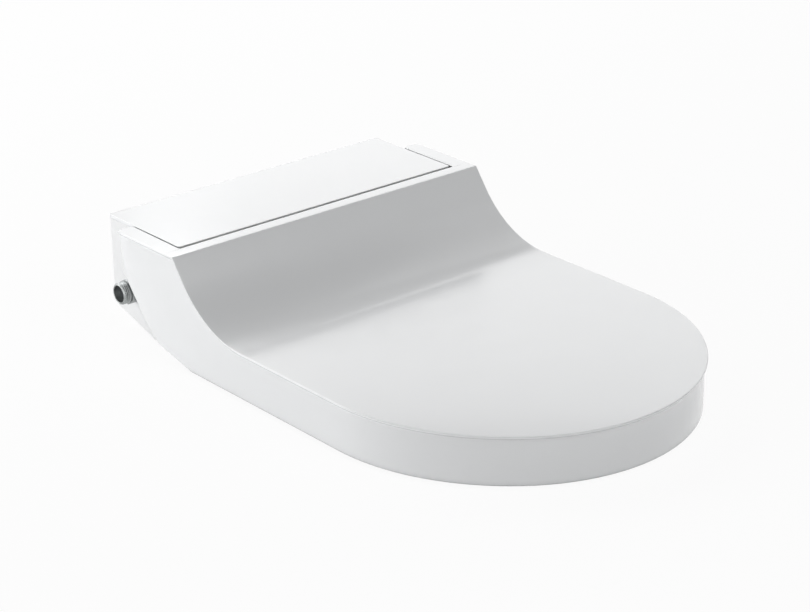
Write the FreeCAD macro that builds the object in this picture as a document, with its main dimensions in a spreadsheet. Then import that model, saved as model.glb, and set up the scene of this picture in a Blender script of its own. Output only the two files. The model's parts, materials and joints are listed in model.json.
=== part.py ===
import FreeCAD, Part
import math
import os
import re
import Sketcher

# Electric bidet seat: a housing on a mounting plate, a seat ring and a lid that share
# one hinge line, and a spray arm that slides out of the housing's nose.
# Millimetres. X to the right, Y to the back, Z up. The origin is midway between the two
# fixing holes, on the plane where the mounting plate and the buffers rest on the pan.

V = FreeCAD.Vector
DOC = FreeCAD.newDocument("bidet_seat")
SHEET = DOC.addObject("Spreadsheet::Sheet", "dims")

SIZES = [
    # overall
    ("lid_width", 360), ("front_reach", 436), ("rear_reach", 115), ("top_height", 109),
    # lid
    ("nose_stretch", 10), ("nose_tuck", 10), ("lip_overhang", 2.8), ("lid_skin", 4.5),
    ("skirt_wall", 3.5), ("skirt_lift", 2), ("flat_height", 48), ("scoop_radius", 106),
    ("scoop_angle", 53), ("crest_ahead", 15), ("strip_depth", 13.8), ("arm_rear", 75),
    ("skirt_ramp_start", 31), ("skirt_ramp_end", 25), ("skirt_ramp_rise", 12.5),
    ("skirt_slant_top", 74), ("arm_end_wall", 3), ("boss_stand", 1.5), ("boss_thick", 2),
    # hinge line, shared by the seat ring and the lid
    ("hinge_back", 54), ("hinge_height", 87), ("hinge_radius", 4), ("hinge_boss", 12),
    ("running_fit", 0.05), ("key_fit", 0.02), ("gap", 0.3), ("damper_radius", 13),
    ("damper_length", 42), ("damper_grip", 10), ("shaft_root", 14), ("shaft_short", 1.6),
    # how far a cutting shape runs past the face that it opens
    ("spill", 1),
    # housing
    ("housing_inset", 20), ("shell_wall", 2.5), ("floor_height", 7.8), ("split_height", 62),
    ("plate_gap", 3.3), ("cover_thick", 3.7), ("cover_overlap", 0.5), ("side_gap", 1.5),
    ("front_foot", 31), ("tail_start", 50), ("tail_rise", 17), ("tail_run", 57), ("rear_drop", 1),
    ("rear_slope", 3), ("front_lean", 3), ("front_bend", 20), ("brow_back", 25), ("brow_rise", 17),
    ("crown_back", 6), ("crown_drop", 3), ("post_half", 4), ("post_front", 18), ("post_rear", 24),
    # fixing
    ("fixing_spacing", 155), ("slot_width", 12), ("slot_length", 36), ("plate_thick", 5),
    ("plate_half_width", 110), ("plate_front", 27), ("plate_rear", 33),
    # nose of the housing, with the ports
    ("nose_half_width", 70), ("nose_reach", 84), ("nose_low", 4), ("nose_high", 28),
    ("nose_wall", 2), ("port_low", 8.5), ("port_high", 18.5), ("port_near", 32), ("port_far", 58),
    ("spray_port_side", 2), ("spray_port_below", 6.3), ("spray_port_above", 7.5),
    # seat ring
    ("ring_inset", 10), ("ring_low", 8), ("ring_high", 40), ("ring_wall", 3),
    ("ring_rear", 44), ("hole_half_width", 105), ("hole_margin", 75), ("hole_rear", 91),
    ("hole_corner", 60), ("bridge_low", 29.5), ("arm_thick", 8), ("arm_gap", 1.7),
    ("foil_thick", 0.8), ("buffer_radius", 9), ("buffer_side_back", 220), ("buffer_nose_back", 60),
    ("bridge_inset", 10), ("notch_slack", 3),
    # spray arm and its drive
    ("spray_tilt", 7), ("spray_height", 13), ("spray_half", 5.5), ("spray_length", 178),
    ("guide_wall", 2.2), ("guide_start", 10), ("pinion_place", 68), ("gear_module", 1),
    ("pinion_teeth", 12), ("lead_teeth", 2), ("pinion_width", 8), ("nozzle_length", 12),
    ("jet_radius", 0.8), ("jet_pitch", 3), ("waterway_drop", 1.5), ("waterway_radius", 1.6),
    ("drive_shaft", 1.5), ("drive_length", 15), ("drive_radius", 9), ("drive_bore", 8),
    # water side
    ("inlet_back", 79), ("inlet_height", 44), ("inlet_radius", 10.4775), ("inlet_bore", 8.2),
    ("inlet_reach", 18.5), ("collar_radius", 13.2), ("collar_length", 9.5), ("spigot_radius", 8),
    ("hose_radius", 4), ("strainer_depth", 8), ("strainer_length", 7), ("strainer_wall", 1.2),
    ("nut_length", 5), ("valve_side", 14.3), ("valve_width", 26), ("valve_below", 13),
    ("valve_above", 11), ("coil_radius", 9), ("coil_rise", 15), ("flow_far", 108), ("flow_near", 68),
    ("flow_front", 8), ("flow_rear", 44), ("flow_high", 60), ("pump_far", 110), ("pump_back", 82),
    ("pump_height", 56), ("pump_length", 40), ("pump_radius", 14), ("pump_foot_far", 82),
    ("pump_foot_width", 10), ("pump_foot_half", 6), ("pump_foot_low", 22), ("hose_side", 88),
    ("hose_top", 80), ("hose_front", 20), ("nozzle_hose_side", 44), ("nozzle_hose_back", 48),
    ("nozzle_hose_high", 52),
    # air side
    ("fan_back", 14), ("fan_height", 44), ("fan_radius", 24), ("fan_near", 26),
    ("fan_far", 62), ("fan_wall", 2), ("blade_count", 12), ("duct_high", 19.8), ("fan_eye", 11),
    ("fan_mouth", 8), ("mouth_inset", 8), ("hub_hole", 2.2), ("wheel_near", 8), ("wheel_end", 3),
    ("wheel_clear", 3), ("wheel_plate", 2), ("blade_half", 0.6), ("blade_turn", 7), ("fan_shaft", 2),
    ("fan_motor_length", 15), ("fan_motor_radius", 10), ("duct_wall", 1.5), ("duct_rear", 11),
    # filter drawer, on the right
    ("drawer_front", 79), ("drawer_rear", 108), ("drawer_low", 30), ("drawer_high", 56),
    ("drawer_inner", 106), ("tray_wall", 2), ("tray_front", 4), ("grip_radius", 4), ("grip_deep", 2),
    ("grip_inset", 6), ("case_inner", 100), ("case_wall", 2), ("case_mouth", 5),
    ("filter_duct_half", 12), ("filter_duct_low", 13), ("filter_duct_rear", 2), ("duct_eye", 10),
    # controls, on the right
    ("button_radius", 5), ("button_back", 95), ("button_low", 72), ("button_pitch", 16),
    ("button_proud", 0.8), ("button_length", 6), ("button_flange", 1.2), ("flange_thick", 1.6),
    ("switch_deep", 11), ("switch_thick", 1.5), ("switch_margin", 8), ("hook_thick", 2),
    ("dome_radius", 3), ("dome_reach", 2.2), ("board_height", 88), ("board_thick", 1.6),
    ("board_left", 50), ("board_right", 100), ("board_front", 8), ("board_rear", 100),
    ("board_margin", 6), ("board_post", 3), ("chip_wide", 16), ("chip_long", 12), ("chip_high", 4.4),
    ("supply_left", 12), ("supply_right", 60), ("supply_front", 42), ("supply_gap", 5),
    ("supply_low", 27), ("supply_high", 58), ("socket_side", 36), ("socket_rise", 3),
    ("socket_flange", 9), ("socket_radius", 6), ("lead_side", 30), ("lead_back", 60),
    ("lead_radius", 2.5), ("sensor_half", 12), ("sensor_low", 31), ("sensor_high", 39),
    ("sensor_deep", 3.5),
    # screws between the shells
    ("screw_side", 150), ("screw_middle", 5), ("screw_front", 21), ("screw_rear", 108.5),
    ("screw_radius", 1.5), ("screw_slack", 0.2), ("head_drop", 11), ("head_high", 3),
    ("thread_reach", 8), ("well_drop", 7), ("tower_radius", 4.5), ("tower_lift", 5),
    ("tower_drop", 11),
]

for row, (alias, size) in enumerate(SIZES, start=1):
    SHEET.set(f"A{row}", alias)
    SHEET.set(f"B{row}", str(size))
    SHEET.setAlias(f"B{row}", alias)
DOC.recompute()

ALIASES = {alias for alias, size in SIZES}
PARTS = []


def bound(text):
    """An expression in the sheet's words, as a document expression."""
    return re.sub(r"[a-z_]+", lambda word: ("dims." + word[0]) if word[0] in ALIASES else word[0], text)


def number(text):
    """The value of an expression in the sheet's words."""
    return float(SHEET.evalExpression(text))


def place(item, x="0", y="0", z="0", turn=None):
    """Bind an object's place, and its turn about an axis where one is given."""
    if turn:
        axis, angle = turn
        item.Placement = FreeCAD.Placement(V(), FreeCAD.Rotation(V(*axis), 1))
        item.setExpression(".Placement.Rotation.Angle", bound(angle))
    for name, text in (("x", x), ("y", y), ("z", z)):
        item.setExpression(f".Placement.Base.{name}", bound(text))
    return item


def box(name, x, y, z):
    """A box between two values on each axis."""
    item = DOC.addObject("Part::Box", name)
    for size, (low, high) in (("Length", x), ("Width", y), ("Height", z)):
        item.setExpression(size, bound(f"({high}) - ({low})"))
    return place(item, x[0], y[0], z[0])


AXIS_TURNS = {"x": ((0, 1, 0), "90"), "y": ((1, 0, 0), "-90"), "z": None}


def rod(name, axis, start, length, radius):
    """A cylinder along an axis from a start point."""
    item = DOC.addObject("Part::Cylinder", name)
    item.setExpression("Radius", bound(radius))
    item.setExpression("Height", bound(length))
    return place(item, *start, turn=AXIS_TURNS[axis])


def join(name, *items):
    item = DOC.addObject("Part::MultiFuse", name)
    item.Shapes = list(items)
    return item


def cut(name, base, *tools):
    item = DOC.addObject("Part::Cut", name)
    item.Base = base
    item.Tool = tools[0] if len(tools) == 1 else join(name + "_tools", *tools)
    return item


def common(name, first, second):
    item = DOC.addObject("Part::Common", name)
    item.Base = first
    item.Tool = second
    return item


def part(item, label):
    """Name a finished sub-part; its label is its file's name."""
    item.Label = label
    PARTS.append(item)
    return item


def sketch_in(body, role, name):
    sketch = body.newObject("Sketcher::SketchObject", name)
    base_plane = [item for item in body.Origin.OriginFeatures if item.Role == role][0]
    sketch.AttachmentSupport = [(base_plane, "")]
    sketch.MapMode = "FlatFace"
    return sketch


def pin_point(sketch, geometry, end, across, up, name):
    """Bind one point of a sketch to two expressions."""
    for kind, text, tag in (("DistanceX", across, "x"), ("DistanceY", up, "y")):
        index = sketch.addConstraint(
            Sketcher.Constraint(kind, -1, 1, geometry, end, number(text)))
        sketch.renameConstraint(index, f"{name}_{tag}")
        sketch.setExpression(f"Constraints.{name}_{tag}", bound(text))


def polygon(sketch, corners):
    """A closed outline of straight edges with every corner bound."""
    points = [V(number(across), number(up), 0) for across, up in corners]
    count = len(points)
    for index in range(count):
        sketch.addGeometry(Part.LineSegment(points[index], points[(index + 1) % count]))
    for index in range(count):
        sketch.addConstraint(Sketcher.Constraint("Coincident", index, 2, (index + 1) % count, 1))
    for index, (across, up) in enumerate(corners):
        pin_point(sketch, index, 1, across, up, f"corner{index}")


def padded(name, role, corners, length, shift=("0", "0", "0")):
    """A straight-edged outline padded from one of the body's planes."""
    body = DOC.addObject("PartDesign::Body", name)
    sketch = sketch_in(body, role, name + "_outline")
    polygon(sketch, corners)
    pad = body.newObject("PartDesign::Pad", name + "_pad")
    pad.Profile = sketch
    pad.setExpression("Length", bound(length))
    return place(body, *shift)


HALF = "(lid_width / 2)"
HOUSE = "(lid_width / 2 - housing_inset)"
SIDE_START = "(lid_width / 2 + nose_stretch - front_reach)"
COVER_FRONT = "(strip_depth + plate_gap - crest_ahead)"
SHELL_TOP = "(top_height - cover_thick - gap)"


def d_solid(name, inset, rear, low, high):
    """The lid's plan, drawn in by an inset: straight sides and a three-centred nose."""
    body = DOC.addObject("PartDesign::Body", name)
    sketch = sketch_in(body, "XY_Plane", name + "_plan")
    half = number(f"{HALF} - ({inset})")
    side_y = number(SIDE_START)
    nose_r = half - number("nose_tuck")
    centre_y = number(f"{HALF} - nose_tuck - front_reach")
    back_y = number(rear)
    offset = side_y - centre_y
    side_r = (half ** 2 + offset ** 2 - nose_r ** 2) / (2 * (half - nose_r))
    side_x = half - side_r
    turn = math.atan2(centre_y - side_y, -side_x)
    up = V(0, 0, 1)
    joint = V(side_x + side_r * math.cos(turn), side_y + side_r * math.sin(turn), 0)
    nose_turn = math.atan2(joint.y - centre_y, joint.x)
    left = Part.ArcOfCircle(Part.Circle(V(-side_x, side_y, 0), up, side_r), math.pi, math.pi - turn)
    nose = Part.ArcOfCircle(Part.Circle(V(0, centre_y, 0), up, nose_r), math.pi - nose_turn, nose_turn)
    right = Part.ArcOfCircle(Part.Circle(V(side_x, side_y, 0), up, side_r), turn, 0)
    corners = [V(half, side_y, 0), V(half, back_y, 0), V(-half, back_y, 0), V(-half, side_y, 0)]
    for piece in (left, nose, right):
        sketch.addGeometry(piece)
    for index in range(3):
        sketch.addGeometry(Part.LineSegment(corners[index], corners[index + 1]))
    for first, second, kind in ((0, 1, "Tangent"), (1, 2, "Tangent"), (2, 3, "Tangent"),
                                (3, 4, "Coincident"), (4, 5, "Coincident"), (5, 0, "Tangent")):
        sketch.addConstraint(Sketcher.Constraint(kind, first, 2, second, 1))
    edge = f"{HALF} - ({inset})"
    pin_point(sketch, 3, 1, edge, SIDE_START, "right_front")
    pin_point(sketch, 3, 2, edge, rear, "right_back")
    pin_point(sketch, 5, 1, f"-({edge})", rear, "left_back")
    pin_point(sketch, 5, 2, f"-({edge})", SIDE_START, "left_front")
    pin_point(sketch, 1, 3, "0", f"{HALF} - nose_tuck - front_reach", "nose_centre")
    index = sketch.addConstraint(Sketcher.Constraint("Radius", 1, nose_r))
    sketch.renameConstraint(index, "nose_radius")
    sketch.setExpression("Constraints.nose_radius", bound(f"{edge} - nose_tuck"))
    pad = body.newObject("PartDesign::Pad", name + "_pad")
    pad.Profile = sketch
    pad.setExpression("Length", bound(f"({high}) - ({low})"))
    return place(body, z=low)


def lid_section(name, inset, front, rear, tail):
    """The lid's long section: flat, concave scoop, straight rise, crest and top strip.

    The inset draws the whole upper line inwards; tail is the outline's way back below.
    """
    body = DOC.addObject("PartDesign::Body", name)
    sketch = sketch_in(body, "YZ_Plane", name + "_outline")
    slope = math.radians(number("scoop_angle"))
    skin = number(inset)
    radius = number("scoop_radius") + skin
    flat_z = number("flat_height") - skin
    top_text = f"top_height - ({inset})"
    crest_text = f"({inset}) * tan(scoop_angle / 2) - crest_ahead"
    crest = V(number(crest_text), number(top_text), 0)
    lift = radius * (1 - math.cos(slope))
    foot = V(crest.x - (crest.y - flat_z - lift) / math.tan(slope), flat_z + lift, 0)
    start_x = foot.x - radius * math.sin(slope)
    circle = Part.Circle(V(start_x, flat_z + radius, 0), V(0, 0, 1), radius)
    low_turn = 1.5 * math.pi
    scoop = Part.ArcOfCircle(circle, low_turn, low_turn + slope)
    flat_text = f"flat_height - ({inset})"
    bound_points = [(front, flat_text), (crest_text, top_text), (rear, top_text)] + tail
    points = [V(number(across), number(up), 0) for across, up in bound_points]
    sketch.addGeometry(Part.LineSegment(points[0], V(start_x, flat_z, 0)))
    sketch.addGeometry(scoop)
    sketch.addGeometry(Part.LineSegment(foot, points[1]))
    loop = points[1:] + points[:1]
    for first, second in zip(loop, loop[1:]):
        sketch.addGeometry(Part.LineSegment(first, second))
    count = 3 + len(loop) - 1
    sketch.addConstraint(Sketcher.Constraint("Tangent", 0, 2, 1, 1))
    sketch.addConstraint(Sketcher.Constraint("Tangent", 1, 2, 2, 1))
    for index in range(2, count):
        sketch.addConstraint(Sketcher.Constraint("Coincident", index, 2, (index + 1) % count, 1))
    sketch.addConstraint(Sketcher.Constraint("Horizontal", 0))
    index = sketch.addConstraint(Sketcher.Constraint("Radius", 1, radius))
    sketch.renameConstraint(index, "scoop")
    sketch.setExpression("Constraints.scoop", bound(f"scoop_radius + ({inset})"))
    index = sketch.addConstraint(Sketcher.Constraint("Angle", 2, slope))
    sketch.renameConstraint(index, "rise")
    sketch.setExpression("Constraints.rise", bound("scoop_angle * 1 deg"))
    pin_point(sketch, 0, 1, *bound_points[0], "front")
    for index, (across, up) in enumerate(bound_points[1:]):
        pin_point(sketch, 3 + index, 1, across, up, f"edge{index}")
    pad = body.newObject("PartDesign::Pad", name + "_pad")
    pad.Profile = sketch
    pad.setExpression("Length", bound("lid_width + 2 * lid_skin"))
    return place(body, x=f"-{HALF} - lid_skin")


def make_lid():
    """Top skin with an overhanging lip, an inset skirt, two rear arms and hinge bosses."""
    tail = [("arm_rear", "skirt_slant_top"), ("skirt_ramp_end", "skirt_lift + skirt_ramp_rise"),
            ("-skirt_ramp_start", "skirt_lift"), ("-front_reach - spill", "skirt_lift")]
    outer = lid_section("lid_outer", "0", "-front_reach - spill", "arm_rear", tail)
    deep_tail = [("arm_rear + 20 * spill", "-20 * spill"), ("-front_reach - 20 * spill", "-20 * spill")]
    inner = lid_section("lid_inner", "lid_skin", "-front_reach - 20 * spill", "arm_rear + 20 * spill",
                        deep_tail)
    plan = d_solid("lid_plan", "0", "arm_rear", "0", "top_height + spill")
    skirt_out = d_solid("skirt_outside", "lip_overhang", "arm_rear", "0", "top_height + spill")
    skirt_in = d_solid("skirt_inside", "lip_overhang + skirt_wall", "arm_rear + 20 * spill",
                       "-spill", "top_height + 2 * spill")
    skin = common("lid_skin_piece", cut("lid_strip", outer, inner), plan)
    skirt = common("lid_skirt", cut("skirt_ring", skirt_out, skirt_in), outer)
    walls = []
    inner_edge = f"{HOUSE} + side_gap + cover_overlap"
    for sign, word in ((-1, "left"), (1, "right")):
        ends = (inner_edge, f"{HALF} - lip_overhang")
        span = ends if sign > 0 else (f"-({ends[1]})", f"-({ends[0]})")
        walls.append(box(f"lid_{word}_end", span, ("arm_rear - arm_end_wall", "arm_rear"),
                         ("hinge_height - spill", "top_height - lid_skin / 2")))
        start = f"{HALF} - lip_overhang - skirt_wall - boss_stand"
        left = f"-({start}) - boss_thick"
        walls.append(rod(f"lid_{word}_boss", "x",
                         (start if sign > 0 else left, "hinge_back", "hinge_height"), "boss_thick",
                         "hinge_boss - boss_thick"))
    body = join("lid_body", skin, skirt, *walls)
    notch = box("lid_notch", (f"-({inner_edge})", inner_edge),
                ("strip_depth - crest_ahead", "arm_rear + spill"), ("hinge_height", "top_height + spill"))
    reach = f"{HALF} - lip_overhang - spill - key_fit * 10"
    bore = rod("lid_bore", "x", (f"-({reach})", "hinge_back", "hinge_height"),
               f"2 * ({reach})", "hinge_radius + running_fit")
    return part(cut("lid_cut", body, notch, bore), "lid")


def ring_hole(name, grow, low, high):
    """The opening's outline: a round front and a rear with rounded corners."""
    round_centre = "hole_half_width + hole_margin - front_reach"
    front = rod(name + "_front", "z", ("0", round_centre, low),
                f"({high}) - ({low})", f"hole_half_width + {grow}")
    half = f"hole_half_width + {grow}"
    middle = box(name + "_middle", (f"-({half})", half),
                 (round_centre, "-hole_rear - hole_corner"), (low, high))
    reach = "hole_half_width - hole_corner"
    rear = box(name + "_rear", (f"-({reach})", reach),
               ("-hole_rear - hole_corner - spill", f"{grow} - hole_rear"), (low, high))
    corners = [rod(f"{name}_corner{index}", "z", (x, "-hole_rear - hole_corner", low),
                   f"({high}) - ({low})", f"hole_corner + {grow}")
               for index, x in enumerate((f"-({reach})", reach))]
    return join(name, front, middle, rear, *corners)


def make_seat_ring():
    """The heated ring: an upper shell with two hinge arms, a base and a heater foil."""
    blank = d_solid("ring_blank", "ring_inset", "-ring_rear", "ring_low", "ring_high")
    cavity = cut("ring_cavity",
                 d_solid("ring_room", "ring_inset + ring_wall", "-hole_rear - bridge_inset",
                         "ring_low - spill", "ring_high - ring_wall"),
                 ring_hole("ring_inner_wall", "ring_wall", "ring_low - 2 * spill", "ring_high"))
    notch = box("ring_notch", ("-nose_half_width - notch_slack", "nose_half_width + notch_slack"),
                ("-hole_rear - 5 * spill", "-ring_rear + spill"), ("ring_low - spill", "bridge_low"))
    arms = []
    for sign, word in ((-1, "left"), (1, "right")):
        near = f"{HOUSE} + arm_gap"
        start = near if sign > 0 else f"-({near}) - arm_thick"
        corners = [("-ring_rear - 16", "ring_low + 2"), ("-ring_rear - 16", "ring_high - 2"),
                   ("-20", "hinge_height - 11"), ("hinge_back", "hinge_height + hinge_boss - 0.5"),
                   ("hinge_back", "hinge_height - hinge_boss + 0.5"), ("0", "hinge_height - 37"),
                   ("-ring_rear + 14", "ring_low + 12"), ("-ring_rear", "ring_low + 2")]
        arms.append(padded(f"ring_{word}_arm", "YZ_Plane", corners, "arm_thick", (start, "0", "0")))
        arms.append(rod(f"ring_{word}_boss", "x", (start, "hinge_back", "hinge_height"),
                        "arm_thick", "hinge_boss"))
    bores = []
    for sign, fit in ((-1, "key_fit"), (1, "running_fit")):
        start = "0" if sign > 0 else f"-{HALF}"
        bores.append(rod(f"ring_bore{sign + 1}", "x", (start, "hinge_back", "hinge_height"),
                         HALF, f"hinge_radius + {fit}"))
    body = join("ring_body", cut("ring_top", blank, ring_hole("ring_opening", "0", "0", "top_height"),
                                 cavity, notch), *arms)
    part(cut("ring_cut", body, *bores), "seat_ring")
    layers = (("seat_ring_base", "gap", "ring_low", "ring_low + ring_wall"),
              ("seat_heater_foil", "2 * gap", "ring_high - ring_wall - gap - foil_thick",
               "ring_high - ring_wall - gap"))
    for label, slack, low, high in layers:
        plate = d_solid(label + "_plan", f"ring_inset + ring_wall + {slack}",
                        f"-hole_rear - bridge_inset - {slack}", low, high)
        hole = ring_hole(label + "_hole", f"(ring_wall + {slack})", "0", "top_height")
        part(cut(label + "_cut", plate, hole), label)


def make_buffers():
    """Rubber feet under the ring and low pads between the ring and the lid."""
    seat_feet = []
    lid_pads = []
    side_x = "((lid_width / 2 - ring_inset + hole_half_width) / 2)"
    pairs = ((side_x, "buffer_side_back - front_reach"),
             ("(0.8 * hole_half_width)", "buffer_nose_back - front_reach"))
    for index, (x, y) in enumerate(pairs):
        for sign, tag in (("-", "left"), ("", "right")):
            seat_feet.append(rod(f"seat_buffer_{index}_{tag}", "z", (sign + x, y, "0"),
                                 "ring_low", "buffer_radius"))
            lid_pads.append(rod(f"lid_buffer_{index}_{tag}", "z", (sign + x, y, "ring_high + gap"),
                                "flat_height - lid_skin - ring_high - gap", "buffer_radius"))
    part(join("seat_feet", *seat_feet), "seat_buffers")
    part(join("lid_pads", *lid_pads), "lid_buffers")


def make_hinge():
    """A damper and a shaft on each side, all on the hinge line."""
    outer_end = f"{HALF} - lip_overhang - shaft_short"
    barrel_end = f"{HOUSE} - shell_wall - gap"
    for sign, shaft, damper in ((-1, "seat_hinge_shaft", "seat_damper"),
                                (1, "lid_hinge_shaft", "lid_damper")):
        inner = f"({barrel_end} - damper_grip - shaft_root)"
        length = f"({outer_end}) - {inner}"
        start = inner if sign > 0 else f"-({outer_end})"
        part(rod(shaft + "_rod", "x", (start, "hinge_back", "hinge_height"), length,
                 "hinge_radius"), shaft)
        barrel_start = f"{barrel_end} - damper_length" if sign > 0 else f"-({barrel_end})"
        barrel = rod(damper + "_barrel", "x", (barrel_start, "hinge_back", "hinge_height"),
                     "damper_length", "damper_radius")
        bore_start = f"{inner} - spill / 2" if sign > 0 else f"-({barrel_end}) - spill"
        bore = rod(damper + "_bore", "x", (bore_start, "hinge_back", "hinge_height"),
                   f"({barrel_end}) - {inner} + 1.5 * spill", "hinge_radius + running_fit")
        part(cut(damper + "_cut", barrel, bore), damper)


def house_body(name, corners, inset):
    """A housing outline padded across the width, drawn in by an inset."""
    half = f"({HOUSE} - ({inset}))"
    return padded(name, "YZ_Plane", corners, f"2 * {half}", (f"-{half}", "0", "0"))


def hinge_holes(name):
    reach = f"({HOUSE} + spill)"
    return rod(name, "x", (f"-{reach}", "hinge_back", "hinge_height"), f"2 * {reach}",
               "hinge_radius + running_fit")


def nose_port(name, near, far, low, high):
    return box(name, (near, far), ("-nose_reach - spill", "-nose_reach + nose_wall + spill"),
               (low, high))


def make_base_shell():
    """The lower housing: tray, hollow nose with three ports, and posts on its floor."""
    tail_end = "tail_start + tail_run"
    rear = "rear_reach - rear_drop"
    outer = house_body("base_outside", [
        ("-front_foot", "skirt_lift"), ("tail_start", "skirt_lift"),
        (tail_end, "skirt_lift + tail_rise"), (rear, "skirt_lift + tail_rise + rear_slope"),
        (rear, "split_height"), ("-front_foot + front_lean", "split_height"),
        ("-front_foot", "split_height - front_bend")], "0")
    wall = "shell_wall"
    inner = house_body("base_inside", [
        (f"-front_foot + {wall}", "floor_height"), (f"tail_start - {wall}", "floor_height"),
        (f"{tail_end} - {wall}", "floor_height + tail_rise - 0.8"),
        (f"{rear} - {wall}", "floor_height + tail_rise + 2"),
        (f"{rear} - {wall}", "split_height + spill"),
        (f"-front_foot + front_lean + {wall}", "split_height + spill"),
        (f"-front_foot + {wall}", "split_height - front_bend")], wall)
    nose = box("nose_outside", ("-nose_half_width", "nose_half_width"),
               ("-nose_reach", "-front_foot + spill"), ("nose_low", "nose_high"))
    nose_room = box("nose_inside", ("-nose_half_width + nose_wall", "nose_half_width - nose_wall"),
                    ("-nose_reach + nose_wall", "-front_foot + shell_wall + spill"),
                    ("nose_low + nose_wall", "nose_high - nose_wall"))
    plate_room = box("plate_recess", ("-plate_half_width - gap", "plate_half_width + gap"),
                     ("-plate_front - gap", "plate_rear + gap"), ("0", "plate_thick"))
    ports = [nose_port("spray_port", "-spray_half - spray_port_side", "spray_half + spray_port_side",
                       "spray_height - spray_port_below", "spray_height + spray_port_above"),
             nose_port("dryer_port", "-port_far", "-port_near", "port_low", "port_high"),
             nose_port("odour_port", "port_near", "port_far", "port_low", "port_high")]
    drawer = box("drawer_window", (f"{HOUSE} - shell_wall - spill", f"{HOUSE} + spill"),
                 ("drawer_front - gap", "drawer_rear + gap"), ("drawer_low - gap", "drawer_high + gap"))
    inlet = rod("inlet_hole", "x", (f"-{HOUSE} - spill", "inlet_back", "inlet_height"),
                "shell_wall + 2 * spill", "spigot_radius + gap")
    power = rod("power_hole", "y", ("socket_side", f"{rear} - {wall} - spill", "inlet_height + socket_rise"),
                "shell_wall + 2 * spill", "socket_radius + gap")
    window = box("sensor_window", ("-sensor_half - gap", "sensor_half + gap"),
                 ("-front_foot - spill", "-front_foot + 6 * spill"),
                 ("sensor_low - gap", "sensor_high + gap"))
    hollow = cut("base_hollow", join("base_solid", outer, nose), inner, nose_room, plate_room,
                 *ports, drawer, inlet, power, window)
    guide_floor = "spray_height + (nose_reach + 20) * tan(spray_tilt) - spray_half - guide_wall - 0.7"
    post = box("guide_post", ("-post_half", "post_half"), ("post_front", "post_rear"),
               ("floor_height - spill", guide_floor))
    tower_low = "skirt_lift + tail_rise + tower_lift"
    towers = screw_rods("base_tower", tower_low, f"split_height - ({tower_low})", "tower_radius")
    wells = screw_rods("base_well", "-spill", "split_height - well_drop", "2 * screw_radius + gap")
    ways = screw_rods("base_way", "0", "split_height + spill", "screw_radius + screw_slack")
    part(cut("base_cut", join("base_all", hollow, post, *towers), *wells, *ways), "base_shell")


def make_top_shell():
    """The upper housing: front inside the lid's scoop, roof under the design cover."""
    rear = "rear_reach - rear_drop"
    wall = "shell_wall"
    crown = "top_height - lid_skin - crown_drop"
    outer = house_body("top_outside", [
        ("-front_foot + front_lean", "split_height"), ("-brow_back", "split_height + brow_rise"),
        ("-crown_back", crown), (f"{COVER_FRONT} - 1.3", crown),
        (f"{COVER_FRONT} + 0.5", SHELL_TOP), (rear, SHELL_TOP), (rear, "split_height")], "0")
    inner = house_body("top_inside", [
        (f"-front_foot + front_lean + {wall}", "split_height - 5 * spill"),
        (f"-brow_back + {wall}", "split_height + brow_rise - spill"),
        (f"-crown_back + {wall} / 2", f"{crown} - {wall}"),
        (f"{COVER_FRONT} + 3", f"{SHELL_TOP} - {wall}"), (f"{rear} - {wall}", f"{SHELL_TOP} - {wall}"),
        (f"{rear} - {wall}", "split_height - 5 * spill")], wall)
    holes = [hinge_holes("top_hinge_holes")]
    for index in range(2):
        holes.append(rod(f"button_hole{index}", "x",
                         (f"{HOUSE} - shell_wall - spill", "button_back",
                          f"button_low + {index} * button_pitch"),
                         "shell_wall + 2 * spill", "button_radius + gap"))
    hollow = cut("top_hollow", outer, inner, *holes)
    posts = [rod(f"board_post{index}", "z", (x, y, "board_height + board_thick"),
                 f"{SHELL_TOP} - board_height - board_thick - spill", "board_post")
             for index, (x, y) in enumerate((x, y) for y in ("board_front + board_margin",
                                                             "board_rear - board_margin")
                                            for x in ("board_margin - board_left",
                                                      "board_right - board_margin"))]
    towers = screw_rods("top_tower", "split_height", "tower_drop", "tower_radius")
    pilots = screw_rods("top_pilot", "split_height - spill", "tower_drop - spill",
                        "screw_radius + key_fit")
    part(cut("top_cut", join("top_all", hollow, *posts, *towers), *pilots), "top_shell")


def make_design_cover():
    """The flat plate that lies on the housing, let in between the lid's arms."""
    edge = f"{HOUSE} + cover_overlap"
    plate = box("cover_plate", (f"-({edge})", edge), (COVER_FRONT, "rear_reach"),
                ("top_height - cover_thick", "top_height"))
    part(plate, "design_cover")


def make_mounting_plate():
    """The plate that stays on the pan, with a slot each side for its fixing bolt."""
    plate = box("fixing_plate", ("-plate_half_width", "plate_half_width"),
                ("-plate_front", "plate_rear"), ("0", "plate_thick"))
    slots = []
    middle = "fixing_spacing / 2"
    run = "(slot_length - slot_width) / 2"
    for sign, word in ((-1, "left"), (1, "right")):
        near, far = mirrored(sign, f"{middle} - {run}", f"{middle} + {run}")
        for end, x in (("low", near), ("high", far)):
            slots.append(rod(f"slot_{word}_{end}", "z", (x, "0", "-spill"),
                             "plate_thick + 2 * spill", "slot_width / 2"))
        slots.append(box(f"slot_{word}", (near, far), ("-slot_width / 2", "slot_width / 2"),
                         ("-spill", "plate_thick + spill")))
    part(cut("plate_cut", plate, *slots), "mounting_plate")


TILTED = {"y": "-nose_reach", "z": "spray_height", "turn": ((1, 0, 0), "spray_tilt")}
PINION_UP = "(spray_half - gear_module + gear_module * pinion_teeth / 2)"


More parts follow.
